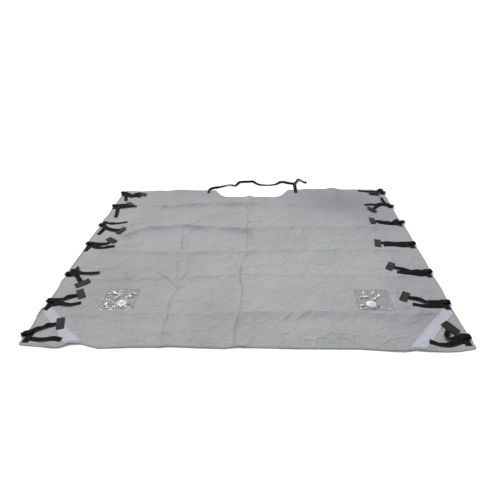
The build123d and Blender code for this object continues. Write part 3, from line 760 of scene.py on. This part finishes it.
for side, side_name in ((-1, "left"), (1, "right")):
    low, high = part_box(f"clear_film_{side_name}")
    cup_low, cup_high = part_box(f"suction_cup_{side_name}")
    cup_x, cup_y = (cup_low.x + cup_high.x) / 2, (cup_low.y + cup_high.y) / 2
    gx, gy = np.meshgrid(np.linspace(low.x, high.x, 110), np.linspace(low.y, high.y, 106))
    to_edge = np.minimum(np.minimum(gx - low.x, high.x - gx), np.minimum(gy - low.y, high.y - gy))
    held = 1 - np.exp(-(to_edge / 0.014) ** 2)
    film_rise = 0.0011 * (np.abs(np.sin(95 * gx + 42 * gy + 2 * np.sin(55 * gy) + side))
                          + np.abs(np.sin(-64 * gx + 88 * gy + 2 * np.sin(48 * gx))))
    for pointing, reach, rise, spread in pulls:
        way = np.radians(pointing if side < 0 else 180 - pointing + 12)
        run = (gx - cup_x) * np.cos(way) + (gy - cup_y) * np.sin(way)
        off = -(gx - cup_x) * np.sin(way) + (gy - cup_y) * np.cos(way) + 0.004 * np.sin(90 * run)
        far = np.where(run < reach, (run - reach) / 0.016, (run - reach) / 0.040)
        film_rise += rise * np.exp(-np.abs(off / spread) ** 1.3) * np.exp(-far ** 2)
    from_x, from_y = gx - cup_x + 0.003 * np.sin(110 * gy), gy - cup_y + 0.003 * np.sin(90 * gx)
    kinked = np.min([off_route(from_x, from_y, route)[0] for route in kinks[side_name]], axis=0)
    broken = np.clip(0.90 + 0.45 * np.sin(140 * gx + 90 * gy), 0, 1)
    film_rise += 0.0050 * np.exp(-np.abs(kinked / 0.0070) ** 1.3)
    film_rise *= held
    # Painted light for the film: white glints along the kinks, less a painted shadow under the lip.
    lip_shadow = np.exp(-(off_route(from_x, from_y, lip_shadow_route)[0] / 0.0055) ** 2)
    lip_shadow *= np.clip(1.5 * broken - 0.6, 0, 1)
    painted_glint_minus_shadow = np.exp(-(kinked / 0.0048) ** 2) * broken * held - 0.9 * lip_shadow
    gz = lift(gx, gy) + fabric + 0.0006 + film_rise
    film = surface(f"clear_film_{side_name}_patch", np.stack([gx, gy, gz], -1))
    glint_and_shadow = film.data.attributes.new("glint_and_shadow", "FLOAT", "POINT")
    glint_and_shadow.data.foreach_set("value", painted_glint_minus_shadow.astype(np.float32).ravel())
    skin = film.modifiers.new("film_thickness", "SOLIDIFY")
    skin.thickness = 0.0003
    skin.offset = 1
    dress(film, film_clear)
    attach(film, "sheet")
    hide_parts(f"clear_film_{side_name}")
    inset = 0.006
    box_line = rounded_outline([(low.x + inset, low.y + inset), (high.x - inset, low.y + inset),
                                (high.x - inset, high.y - inset), (low.x + inset, high.y - inset)],
                               [0.004] * 4, 0.0045)
    line_z = lift(box_line[:, 0], box_line[:, 1]) + fabric + 0.0013
    line = np.column_stack([box_line, line_z])
    ways = np.roll(line, -1, 0) - np.roll(line, 1, 0)
    row = stitches(f"film_stitching_{side_name}", line, ways, pale_thread)
    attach(row, "sheet")

    # The cup: thin lip, domed wall with a pressed ring, a waist and a pull knob, turned in one
    # mould. Its section is carried round the cup's axis.
    section = np.array([(0.0005, 0.0030), (0.0140, 0.0024), (0.0300, 0.0002), (0.0318, 0.0001),
                        (0.0320, 0.0008), (0.0290, 0.0022), (0.0262, 0.0048), (0.0240, 0.0052),
                        (0.0205, 0.0066), (0.0140, 0.0082), (0.0078, 0.0091), (0.0062, 0.0102),
                        (0.0060, 0.0124), (0.0082, 0.0132), (0.0098, 0.0140), (0.0100, 0.0160),
                        (0.0092, 0.0176), (0.0070, 0.0180), (0.0040, 0.0174), (0.0006, 0.0172)])
    spin = np.linspace(0, 2 * np.pi, 72, endpoint=False)
    ribs = 1 + 0.012 * np.cos(spin * 12)[None, :] * (section[:, :1] > 0.012)
    wall = section[:, None, :1] * ribs[..., None]
    rest_z = float(lift(cup_x, cup_y)) + fabric + 0.0008
    cup_points = np.concatenate([cup_x + wall * np.cos(spin)[None, :, None],
                                 cup_y + wall * np.sin(spin)[None, :, None],
                                 rest_z + section[:, None, 1:] + 0 * wall], -1)
    cup = surface(f"suction_cup_{side_name}_moulding", cup_points, ring=True, caps=True)
    dress(cup, cup_clear)
    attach(cup, "sheet")
    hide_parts(f"suction_cup_{side_name}")

# ---- Tie webbing ------------------------------------------------------------------------------
# Black 30 mm polyester webbing with a ribbed face. Every tie is two straps sewn side by side at
# the sheet's edge under a cross patch. The hook strap turns back over the edge and the patch; the
# loop strap lies beside it.

webbing_width = 0.030
webbing = 0.0015
strap_step = 0.0045
patch_low, patch_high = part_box("tie_patches_right")


def webbing_finish(name, colour, worn):
    """Woven webbing on the strap's own lengthwise and crosswise measure: cross ribs, lengthwise
    yarns, and paler worn edges."""
    material, tree, shader = blank_material(name)
    uv = place(tree, "ShaderNodeUVMap", uv_map="cloth").outputs["UV"]
    parts = place(tree, "ShaderNodeSeparateXYZ", {0: uv})
    rib = place(tree, "ShaderNodeMath", {0: parts.outputs["X"], 1: 3600.0}, operation="MULTIPLY")
    rib = place(tree, "ShaderNodeMath", {0: rib.outputs[0]}, operation="SINE")
    yarns = place(tree, "ShaderNodeGroup", {"Place": uv, "Yarns": 5200.0}, node_tree=weave)
    relief = place(tree, "ShaderNodeMath", {0: rib.outputs[0], 1: 0.6, 2: yarns.outputs["Height"]},
                   operation="MULTIPLY_ADD")
    dust = place(tree, "ShaderNodeTexNoise", {"Vector": uv, "Scale": 55.0, "Detail": 4.0})
    across = place(tree, "ShaderNodeMath", {0: parts.outputs["Y"]}, operation="ABSOLUTE")
    edge = place(tree, "ShaderNodeMapRange", {"Value": across.outputs[0], "From Min": 0.0105,
                                              "From Max": 0.0150})
    dusty = place(tree, "ShaderNodeMapRange", {"Value": dust.outputs["Fac"], "From Min": 0.35,
                                               "From Max": 0.75})
    blend = place(tree, "ShaderNodeMath", {0: edge.outputs["Result"], 1: 0.5, 2: dusty.outputs["Result"]},
                  operation="MULTIPLY_ADD")
    blend = place(tree, "ShaderNodeMath", {0: blend.outputs[0], 1: 0.6}, operation="MULTIPLY", use_clamp=True)
    tone = place(tree, "ShaderNodeMix", {0: blend.outputs[0], 6: colour, 7: worn}, data_type="RGBA")
    tree.links.new(tone.outputs[2], shader.inputs["Base Color"])
    bump = place(tree, "ShaderNodeBump", {"Strength": 0.7, "Distance": 0.0005, "Height": relief.outputs[0]})
    tree.links.new(bump.outputs[0], shader.inputs["Normal"])
    shader.inputs["Roughness"].default_value = 0.75
    shader.inputs["Specular IOR Level"].default_value = 0.08
    return material


strap_finish = webbing_finish("black_webbing", (0.0045, 0.0045, 0.0050, 1), (0.014, 0.014, 0.0155, 1))


def smooth_line(points, step):
    """Points evenly spaced along a smooth curve through the given ones: cubic pieces whose
    slopes are the mean of the neighbouring runs."""
    points = np.array(points, float)
    runs = np.linalg.norm(np.diff(points[:, :3], axis=0), axis=1)
    knots = np.concatenate([[0], np.cumsum(runs)])
    chords = np.diff(points, axis=0) / runs[:, None]
    slopes = np.concatenate([chords[:1], (chords[1:] * runs[:-1, None] + chords[:-1] * runs[1:, None])
                             / (runs[1:] + runs[:-1])[:, None], chords[-1:]])
    at = np.linspace(0, knots[-1], max(8, int(knots[-1] / step)))
    piece = np.clip(np.searchsorted(knots, at, side="right") - 1, 0, len(runs) - 1)
    h = runs[piece][:, None]
    t = ((at - knots[piece]) / runs[piece])[:, None]
    a, b = points[piece], points[piece + 1]
    ma, mb = slopes[piece] * h, slopes[piece + 1] * h
    return ((2 * t**3 - 3 * t**2 + 1) * a + (t**3 - 2 * t**2 + t) * ma
            + (3 * t**2 - 2 * t**3) * b + (t**3 - t**2) * mb)


def across_from(line):
    """Crosswise directions that stay level round a turn over the strap's end: every one is level
    and square to the plan run, which is carried back from the first part that lies along it."""
    runs = np.gradient(line[:, :2], axis=0)
    settled = np.argmax(np.arange(len(line)) * strap_step > 0.040)
    runs[:settled] = line[settled, :2] - line[0, :2]
    runs /= np.linalg.norm(runs, axis=1)[:, None]
    return np.column_stack([runs[:, 1], -runs[:, 0], np.zeros(len(line))])


def ribbon(name, line, rolls, width, thickness=webbing, sides=None):
    """Strap: a flat rounded section carried along a line, its width held level and then rolled
    about the line by the given angles. The measure on it is length along and place across."""
    along = np.gradient(line, axis=0)
    along /= np.linalg.norm(along, axis=1)[:, None]
    if sides is None:
        sides = np.cross(along, [0, 0, 1.0])
    sides = sides - along * np.sum(sides * along, axis=1)[:, None]
    sides /= np.linalg.norm(sides, axis=1)[:, None]
    faces = np.cross(sides, along)
    turned = sides * np.cos(rolls)[:, None] + faces * np.sin(rolls)[:, None]
    normal = np.cross(turned, along)
    a, b = width / 2, thickness / 2
    section = np.array([(-a, 0), (-a * 0.985, b * 0.7), (-a * 0.93, b), (-a * 0.5, b * 1.05),
                        (0, b * 1.08), (a * 0.5, b * 1.05), (a * 0.93, b), (a * 0.985, b * 0.7),
                        (a, 0), (a * 0.985, -b * 0.7), (a * 0.93, -b), (0, -b), (-a * 0.93, -b),
                        (-a * 0.985, -b * 0.7)])
    points = (line[:, None] + turned[:, None] * section[None, :, :1] + normal[:, None] * section[None, :, 1:])
    points[..., 2] = np.maximum(points[..., 2], 0.0003)
    steps = np.concatenate([[0], np.cumsum(np.linalg.norm(np.diff(line, axis=0), axis=1))])
    uv = np.stack([np.broadcast_to(steps[:, None], points.shape[:2]),
                   np.broadcast_to(section[None, :, 0], points.shape[:2])], -1)
    return surface(name, points, ring=True, caps=True, uv=uv)


# Each tie from the rear row to the front, in millimetres inward from the side edge, along the
# edge towards the rear, height, and roll in degrees: the hook strap past its turn, the pad
# (place, heading and tip in degrees), the loop strap from the patch, and any loose tail.
ties = {
    "left": [
        ([(40, 10, 8, 0), (82, -20, 5, -14), (118, -34, 4, 4), (156, -20, 6, -18), (194, -20, 5, -8)],
         (206, -24, 76, 8),
         [(62, -18, 0, 0), (84, -46, 2, 0), (118, -70, 3, 6), (160, -60, 4, -18), (210, -74, 3, -14)],
         [(58, -30, 2, 0), (72, -88, 3, 6), (92, -150, 1, -8)]),
        ([(40, 20, 9, 0), (78, 22, 6, -14), (112, 24, 5, -18), (140, 36, 3, -6)], (154, 46, 38, -6),
         [(62, -18, 0, 0), (100, -16, 3, -18), (137, -4, 2, 6), (178, 2, 2, 10), (224, 8, 1, 6)],
         [(64, -16, 3, 0), (74, -72, 6, 12), (84, -132, 3, -6), (94, -196, 1, 0)]),
        ([(40, -24, 8, 0), (70, -62, 5, -10), (96, -86, 6, -20), (136, -108, 8, -30), (186, -118, 8, -26),
          (222, -108, 4, -14)], (214, -118, -20, 24),
         [(62, 18, 0, 0), (100, 4, 3, -6), (145, 6, 1, 8), (190, 14, 1, 10), (226, 20, 1, 6)],
         [(52, -34, 2, 0), (62, -92, 5, 14), (54, -132, 3, 6), (42, -168, 1, 0)]),
        ([(40, 14, 9, 0), (75, 8, 6, -12), (112, 2, 4, -16), (140, 6, 4, -8), (160, 16, 3, 0),
          (172, 34, 3, 0)], (181, 62, 54, 0),
         [(62, -18, 0, 0), (90, -34, 3, -14), (138, -42, 1, 4), (182, -38, 2, -10), (232, -20, 1, 8)],
         [(36, -40, 2, 4), (28, -66, 1, 0), (26, -84, 0, 0)]),
        ([(42, -22, 9, 0), (70, -26, 6, -8), (90, -42, 3, 0), (113, -74, 2, 0), (142, -106, 2, 0)],
         (158, -122, -51, 0),
         [(62, 18, 0, 0), (98, -6, 3, 8), (140, -14, 2, 14), (184, -12, 2, 16), (232, -2, 1, 10)],
         [(56, 34, 3, 8), (62, 56, 7, 26)]),
        ([(40, 14, 9, 0), (66, 16, 8, -16), (98, 34, 4, 12), (124, 46, 7, -24), (152, 60, 4, -12),
          (176, 72, 3, 0)], (188, 88, 31, 0),
         [(62, -18, 0, 0), (92, -10, 3, -10), (125, -16, 2, 4), (172, -20, 2, 14), (200, -14, 2, 6),
          (226, -4, 1, 10)],
         [(30, -36, 2, 0), (22, -66, 1, 0)]),
        ([(30, 34, 8, 0), (58, 54, 6, -12), (84, 70, 4, 6), (106, 82, 6, -18), (128, 90, 4, -6),
          (152, 100, 3, 0)], (170, 105, 20, 0),
         [(62, -18, 0, 0), (96, -24, 2, 0), (140, -24, 2, 6), (184, -20, 2, -6), (232, -27, 1, 0)],
         []),
    ],
    "right": [
        ([(34, 0, 8, 20), (24, 30, 8, 34), (36, 40, 7, 38), (58, 16, 6, 24), (80, -16, 5, 12),
          (104, -34, 4, 0)], (112, -34, -78, 26),
         [(62, 18, 0, 0), (92, 2, 3, 12), (129, 2, 4, 16), (178, 24, 2, -6), (244, 40, 1, -12)],
         []),
        ([(38, -8, 9, 0), (72, 4, 6, 16), (106, 4, 6, 22), (150, -30, 4, 12), (186, -70, 3, 0)],
         (206, -84, -30, 28),
         [(62, 18, 0, 0), (100, 26, 4, 14), (140, 20, 3, -8), (190, 16, 2, 10), (246, 18, 1, -8)],
         [(52, 34, 2, 0), (66, 76, 6, -14), (68, 116, 9, -16), (68, 146, 8, -16)]),
        ([(34, 6, 9, 0), (66, 12, 8, 24), (94, -2, 5, -12), (120, 0, 6, 24), (154, 16, 4, -12),
          (190, 14, 5, 20), (224, 18, 4, 0)], (246, 24, 3, 18),
         [(62, -18, 0, 0), (104, -18, 2, 8), (150, -10, 1, 14), (206, 0, 1, 10)],
         [(52, 30, 4, 0), (40, 58, 5, 14)]),
        ([(38, 16, 9, 0), (70, 14, 5, 12), (104, 10, 4, 20), (150, 12, 4, 6), (200, 16, 3, 16),
          (254, 21, 2, 4)], (277, 21, 10, 0),
         [(62, -18, 0, 0), (96, -22, 3, 16), (150, -14, 2, 18), (196, -10, 2, 8), (240, -8, 1, 6)],
         []),
        ([(38, 14, 9, 0), (66, 8, 5, 14), (98, 14, 4, 18), (134, 12, 3, 6), (180, 34, 3, 14),
          (242, 66, 2, 0)], (260, 79, 29, 0),
         [(62, -18, 0, 0), (96, -22, 3, 16), (136, -16, 3, 20), (186, -6, 1, 14), (236, 3, 1, 6)],
         []),
        ([(38, 18, 9, 0), (72, 12, 6, 14), (110, 12, 5, 18), (142, 18, 4, -12), (180, 40, 4, 14),
          (238, 60, 2, 0)], (258, 70, 30, 0),
         [(62, -18, 0, 0), (92, -20, 3, 14), (124, -22, 2, 12), (180, -22, 1, 6), (234, -10, 1, 8)],
         []),
        ([(40, 16, 8, 0), (72, 6, 6, 10), (108, -4, 6, -8), (136, 6, 9, -34), (124, 30, 9, -20),
          (104, 56, 6, 8)], (84, 80, 150, 16),
         [(62, -18, 0, 0), (96, -30, 4, 12), (136, -42, 2, 6), (190, -38, 1, -8), (236, -24, 2, 10)],
         []),
    ],
}
joints = {joint["name"]: joint for joint in frame["joints"]}
fold_radius = 0.007
far_turn = 0.024
near_turn = 0.008
lie_on = 0.0016
tuck = 0.022


def tie_place(side, row, spots):
    """A tie's points as x, y, height, roll: the heights are taken up from the fabric, with room
    for the rolled strap's lower edge."""
    spots = np.array(spots, float)
    x = side * (half_width - spots[:, 0] / 1000)
    y = row + spots[:, 1] / 1000
    rolls = np.radians(spots[:, 3])
    room = webbing_width / 2 * np.abs(np.sin(rolls))
    return np.column_stack([x, y, lift(x, y) + fabric + lie_on + spots[:, 2] / 1000 + 0.8 * room, rolls])


hook_ends = []
for side, side_name in ((-1, "left"), (1, "right")):
    for number, (hook, pad, loop, tail) in enumerate(ties[side_name], start=1):
        hook_hinge = np.array(joints[f"hook_{side_name}_{number}_lift"]["pos_m"])
        loop_hinge = np.array(joints[f"loop_{side_name}_{number}_lift"]["pos_m"])
        row = (hook_hinge[1] + loop_hinge[1]) / 2

        # Hook strap: a half turn up round the edge, a crest over the patch, then the lay.
        base = float(lift(hook_hinge[0], hook_hinge[1]))
        lay = tie_place(side, row, hook)
        inward = lay[0, :2] - hook_hinge[:2]
        inward /= np.linalg.norm(inward)
        reach_out = far_turn if (side_name, number) in (("left", 7), ("right", 3)) else near_turn
        swing = np.radians([270, 235, 200, 165, 130, 90])
        out = np.where(np.cos(swing) < -1e-6, reach_out, fold_radius) * np.cos(swing)
        bight = np.column_stack([hook_hinge[:2] + out[:, None] * inward,
                                 hook_hinge[2] + base + fold_radius * np.sin(swing), np.zeros(6)])
        path = smooth_line(np.concatenate([bight, lay]), strap_step)
        strap = ribbon(f"hook_strap_{side_name}_{number}_webbing", path[:, :3], path[:, 3], webbing_width,
                       sides=across_from(path[:, :3]))
        dress(strap, strap_finish)
        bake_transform(strap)
        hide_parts(f"hook_strap_{side_name}_{number}")
        hook_ends.append((side, side_name, number, row, pad, path[-1]))

        # Loop strap: leaves the patch's inner edge and lies flat, with a twist here and there.
        lay = tie_place(side, row, loop)
        tucked = [(*(loop_hinge[:2] + np.array([side, 0]) * tuck), lay[0, 2], 0)]
        path = smooth_line(np.concatenate([tucked, lay]), strap_step)
        strap = ribbon(f"loop_strap_{side_name}_{number}_webbing", path[:, :3], path[:, 3], webbing_width)
        dress(strap, strap_finish)
        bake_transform(strap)
        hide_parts(f"loop_strap_{side_name}_{number}")

        # A strap's end has slipped under the sheet here and shows as a thin strip along the edge.
        if (side_name, number) == ("left", 6):
            slip = np.array([(-1.241, row - 0.040), (-1.243, row - 0.080), (-1.2415, row - 0.122)])
            under = smooth_line(np.column_stack([slip, np.full(3, 0.0009)]), 0.006)
            slipped = ribbon("strap_end_under_edge", under, np.zeros(len(under)), webbing_width)
            dress(slipped, strap_finish)
            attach(slipped, "sheet")

        if tail:
            path = smooth_line(tie_place(side, row, tail), 0.006)
            piece = ribbon(f"patch_tail_{side_name}_{number}", path[:, :3], path[:, 3], webbing_width)
            dress(piece, strap_finish)
            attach(piece, "sheet")

# ---- Tie patches ------------------------------------------------------------------------------
# A cross piece of the same webbing laid over each pair of strap ends and box-stitched through
# everything to the sheet. Under it the strap ends run flat.


def box_stitches(name, middle, half_x, half_y, rise):
    """Box stitch with both diagonals, laid over the fabric at the given rise."""
    pitch = 0.0042
    corners = np.array([(-1, -1), (1, -1), (1, 1), (-1, 1), (-1, -1), (1, 1), (-1, 1), (1, -1)])
    corners = corners * [half_x, half_y]
    spots, ways = [], []
    for start, end in zip(corners, corners[1:]):
        count = int(np.linalg.norm(end - start) / pitch)
        spots.append(start + (end - start) * np.linspace(0, 1, count)[:, None])
        ways.append(np.repeat([[*(end - start), 0.0]], count, axis=0))
    x, y = (np.array(middle) + np.concatenate(spots)).T
    places = np.column_stack([x, y, lift(x, y) + fabric + rise])
    return stitches(name, places, np.concatenate(ways), black_thread)


def slab(name, length, span, thickness, place_at, heading, base_at, corner=0.003, curl=0.0, tip=0.0):
    """Sewn flat piece: a rounded outline drawn in to its middle on both faces, with a soft edge,
    laid on the given base height and curled or tipped about its long axis."""
    half_l, half_s = length / 2, span / 2
    loop = rounded_outline([(-half_l, -half_s), (half_l, -half_s), (half_l, half_s), (-half_l, half_s)],
                           [corner] * 4, 0.004)
    rings = [(0.02, 0.0), (0.5, 0.0), (0.94, 0.0), (0.985, 0.12), (1.0, 0.5), (0.985, 0.88), (0.94, 1.0),
             (0.85, 1.04), (0.5, 1.08), (0.25, 1.08), (0.02, 1.08)]
    flat = np.array([[(px * s, py * s, h * thickness) for px, py in loop] for s, h in rings])
    a, b, h = flat[..., 0], flat[..., 1], flat[..., 2]
    h = h + curl * (a / half_l) ** 2 + curl * 0.5 * np.sin(b / half_s * 4) * (a / half_l)
    h = h + (a / half_l + 1) * np.tan(tip) * half_l
    cosine, sine = np.cos(heading), np.sin(heading)
    x = place_at[0] + a * cosine - b * sine
    y = place_at[1] + a * sine + b * cosine
    z = base_at(x, y) + h
    return surface(name, np.stack([x, y, z], -1), ring=True, caps=True, uv=np.stack([b, a], -1))


def on_sheet(rise):
    """Height rule for pieces that follow the fabric, raised by the layers under them."""
    return lambda x, y: lift(x, y) + fabric + rise


patch_finish = webbing_finish("black_patch_webbing", (0.0050, 0.0050, 0.0056, 1), (0.015, 0.015, 0.0165, 1))
patch_width = patch_high.x - patch_low.x
patch_length = 0.092
for side, side_name in ((-1, "left"), (1, "right")):
    for number in range(1, 8):
        hook_hinge = np.array(joints[f"hook_{side_name}_{number}_lift"]["pos_m"])
        loop_hinge = np.array(joints[f"loop_{side_name}_{number}_lift"]["pos_m"])
        row_y = (hook_hinge[1] + loop_hinge[1]) / 2
        middle = (side * (patch_low.x + patch_high.x) / 2, row_y)
        patch = slab(f"tie_patch_{side_name}_{number}", patch_width, patch_length, 0.0012, middle, 0.0,
                     on_sheet(0.0020), curl=0.0006)
        dress(patch, patch_finish)
        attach(patch, "sheet")
        if number == 1:
            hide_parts(f"tie_patches_{side_name}")
        root_line = np.linspace(side * (patch_low.x - 0.002), hook_hinge[0], 12)
        root = np.column_stack([root_line, np.full(12, hook_hinge[1]), np.zeros(12)])
        root[:, 2] = lift(root[:, 0], root[:, 1]) + fabric + 0.0010
        root[-3:, 2] += np.array([0.0002, 0.0005, 0.0008])
        strap_end = ribbon(f"tie_root_{side_name}_{number}", root, np.zeros(12), webbing_width)
        dress(strap_end, strap_finish)
        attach(strap_end, "sheet")
        if number == 1:
            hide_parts(f"tie_roots_{side_name}")
        row = box_stitches(f"patch_stitching_{side_name}_{number}", middle, patch_width / 2 - 0.004,
                           patch_length / 2 - 0.005, 0.0034)
        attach(row, "sheet")

# ---- Hook pads --------------------------------------------------------------------------------
# Stiff hook tape, 46 by 98 mm, folded over the end of each hook strap and sewn round its border.
# It looks brownish black, because the hooks catch the light and hold lint.


def hook_tape(name, bare, linty):
    """Hook tape: rows of tiny hooks as round dots, a smooth selvedge and a little lint."""
    material, tree, shader = blank_material(name)
    uv = place(tree, "ShaderNodeUVMap", uv_map="cloth").outputs["UV"]
    dots = place(tree, "ShaderNodeTexVoronoi", {"Vector": uv, "Scale": 620.0, "Randomness": 0.25})
    hooks = place(tree, "ShaderNodeMapRange", {"Value": dots.outputs["Distance"], "From Min": 0.10,
                                               "From Max": 0.55, "To Min": 1.0, "To Max": 0.0})
    lint = place(tree, "ShaderNodeTexNoise", {"Vector": uv, "Scale": 70.0, "Detail": 6.0, "Roughness": 0.7})
    some = place(tree, "ShaderNodeMapRange", {"Value": lint.outputs["Fac"], "From Min": 0.45,
                                              "From Max": 0.75})
    tone = place(tree, "ShaderNodeMix", {0: some.outputs["Result"], 6: bare, 7: linty}, data_type="RGBA")
    lit = place(tree, "ShaderNodeMapRange", {"Value": hooks.outputs["Result"], "To Min": 0.75,
                                             "To Max": 1.35})
    shade = place(tree, "ShaderNodeVectorMath", {0: tone.outputs[2], 3: lit.outputs["Result"]},
                  operation="SCALE")
    tree.links.new(shade.outputs[0], shader.inputs["Base Color"])
    bump = place(tree, "ShaderNodeBump", {"Strength": 0.8, "Distance": 0.0008,
                                          "Height": hooks.outputs["Result"]})
    tree.links.new(bump.outputs[0], shader.inputs["Normal"])
    shader.inputs["Roughness"].default_value = 0.6
    shader.inputs["Specular IOR Level"].default_value = 0.25
    return material


pad_finish = hook_tape("hook_tape", (0.011, 0.0102, 0.0118, 1), (0.028, 0.025, 0.028, 1))
pad_back_finish = hook_tape("hook_tape_back", (0.0050, 0.0048, 0.0056, 1), (0.014, 0.0135, 0.015, 1))
# These lie with the plain back of the tape upward, which is blacker.
back_up = (("left", 1), ("left", 2), ("left", 3), ("left", 4), ("right", 1), ("right", 2), ("right", 7))
pad_length, pad_span = 0.046, 0.098
for side, side_name, number, row, (inset, along, heading, tip), end in hook_ends:
    heading = np.radians(heading)
    ahead = np.array([-side * np.cos(heading), np.sin(heading)])
    middle = np.array([side * (half_width - inset / 1000), row + along / 1000])
    rise = 0.0030 + max(0.0, pad_length * np.tan(np.radians(-tip)))
    pad = slab(f"hook_pad_{side_name}_{number}_tape", pad_length, pad_span, 0.0024, middle,
               np.arctan2(ahead[1], ahead[0]), on_sheet(rise), corner=0.004, curl=0.0016, tip=np.radians(tip))
    dress(pad, pad_back_finish if (side_name, number) in back_up else pad_finish)
    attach(pad, f"hook_{side_name}_{number}")
    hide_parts(f"hook_pad_{side_name}_{number}")

# ---- Neck strap -------------------------------------------------------------------------------
# A 25 mm webbing sewn at the left of the cut-out. It runs loosely across to a slide buckle held
# by a short wide tab on the right, and its free end hangs on past the buckle. It half stands on
# its edge where it twists, so it shows broad in places and as a line in others.

neck_joint = joints["neck_strap_swing"]["pos_m"]
tab_low, tab_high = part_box("neck_tab")
root_low, root_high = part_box("neck_roots")
tab_x = (tab_low.x + tab_high.x) / 2
tab_width = tab_high.x - tab_low.x
neck_width = 0.025
left_root_x = root_low.x + neck_width / 2
buckle_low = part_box("neck_buckle")[0]

# Points along the strap: x, y, height of its centre, roll in degrees.
neck_line = [
    (left_root_x, neck_joint[1], 0.004, -20), (left_root_x + 0.003, 1.000, 0.008, -40),
    (-0.392, 1.024, 0.0122, -58), (-0.350, 1.052, 0.0104, -44), (-0.310, 1.076, 0.006, -16),
    (-0.270, 1.104, 0.008, 10), (-0.235, 1.122, 0.009, 14), (-0.200, 1.126, 0.008, 14),
    (-0.172, 1.104, 0.006, 10), (-0.152, 1.126, 0.007, -10), (-0.122, 1.174, 0.0120, -56),
    (-0.080, 1.182, 0.0124, -60), (-0.035, 1.184, 0.0118, -54), (0.006, 1.196, 0.0090, -30),
    (0.036, 1.160, 0.007, -6), (0.074, 1.126, 0.006, -10), (0.130, 1.118, 0.005, 4),
    (0.190, 1.122, 0.005, 6), (0.240, 1.138, 0.007, -4), (0.282, 1.172, 0.0100, -40),
    (0.312, 1.174, 0.0104, -40), (0.356, 1.146, 0.0126, -62), (0.396, 1.132, 0.0126, -62),
    (tab_x - 0.004, 1.130, 0.0095, -34),
]
neck_array = np.array(neck_line, float)
neck_array[:, 3] = np.radians(neck_array[:, 3])
smooth = smooth_line(neck_array, 0.005)
neck_strap = ribbon("neck_strap_webbing", smooth[:, :3], smooth[:, 3], neck_width)
dress(neck_strap, strap_finish)
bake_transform(neck_strap)
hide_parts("neck_strap")

tail_line = np.array([(tab_x + 0.004, 1.140, 0.0085, -20), (tab_x + 0.016, 1.172, 0.010, 0),
                      (tab_x + 0.032, 1.212, 0.010, 12), (0.466, 1.238, 0.010, -16),
                      (0.482, 1.224, 0.010, 10), (0.508, 1.190, 0.009, 10),
                      (0.530, 1.164, 0.009, -24), (0.538, 1.156, 0.010, -40)])
tail_line[:, 3] = np.radians(tail_line[:, 3])
smooth = smooth_line(tail_line, 0.005)
neck_tail = ribbon("neck_strap_tail", smooth[:, :3], smooth[:, 3], neck_width)
dress(neck_tail, strap_finish)
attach(neck_tail, "neck")

tab_y = np.linspace(neck_joint[1] - 0.004, buckle_low.y + 0.010, 30)
over_sheet = lift(tab_x, np.minimum(tab_y, half_depth - 0.004)) + 0.0030
tab_rise = np.where(tab_y < half_depth + 0.004, over_sheet, 0.0018)
tab_rise = np.convolve(np.pad(tab_rise, 3, mode="edge"), np.ones(7) / 7, mode="valid")
tab_rise = tab_rise + 0.005 * np.exp(-((tab_y - half_depth - 0.05) / 0.03) ** 2)
tab_line = np.column_stack([np.full(30, tab_x), tab_y, tab_rise])
neck_tab = ribbon("neck_tab_webbing", tab_line, np.radians(6) * np.sin(np.linspace(0, 3, 30)), tab_width)
dress(neck_tab, strap_finish)
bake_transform(neck_tab)
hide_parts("neck_tab")

for root_name, root_x, width in (("left", left_root_x, neck_width), ("right", tab_x, tab_width)):
    run_y = np.linspace(root_low.y, neck_joint[1] + 0.001, 14)
    line = np.column_stack([np.full(14, root_x), run_y, lift(root_x, run_y) + fabric + 0.0011])
    line[-3:, 2] += np.array([0.0003, 0.0008, 0.0014])
    root = ribbon(f"neck_root_{root_name}", line, np.zeros(14), width)
    dress(root, strap_finish)
    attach(root, "sheet")
    if root_name == "left":
        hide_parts("neck_roots")
    row = box_stitches(f"neck_stitching_{root_name}", (root_x, (root_low.y + root_high.y) / 2),
                       width / 2 - 0.003, 0.018, 0.0021)
    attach(row, "sheet")

# ---- Neck buckle ------------------------------------------------------------------------------
# A moulded black slide buckle: a rounded frame with a middle bar. The tab is sewn round its
# lower bar and the neck strap threads over the middle one.


def buckle_plastic():
    """Moulded plastic with a faint spark-eroded grain and worn edges."""
    material, tree, shader = blank_material("black_buckle_plastic")
    place_on = place(tree, "ShaderNodeTexCoord").outputs["Object"]
    grain = place(tree, "ShaderNodeTexNoise", {"Vector": place_on, "Scale": 900.0, "Detail": 2.0})
    rub = place(tree, "ShaderNodeTexNoise", {"Vector": place_on, "Scale": 90.0, "Detail": 3.0})
    tone = place(tree, "ShaderNodeMix", {0: rub.outputs["Fac"], 6: (0.010, 0.010, 0.011, 1),
                                         7: (0.032, 0.032, 0.034, 1)}, data_type="RGBA")
    tree.links.new(tone.outputs[2], shader.inputs["Base Color"])
    bump = place(tree, "ShaderNodeBump", {"Strength": 0.25, "Distance": 0.0002,
                                          "Height": grain.outputs["Fac"]})
    tree.links.new(bump.outputs[0], shader.inputs["Normal"])
    shader.inputs["Roughness"].default_value = 0.42
    return material


neck_buckle = frame["nodes"]["neck_buckle"]
dress(neck_buckle, buckle_plastic())
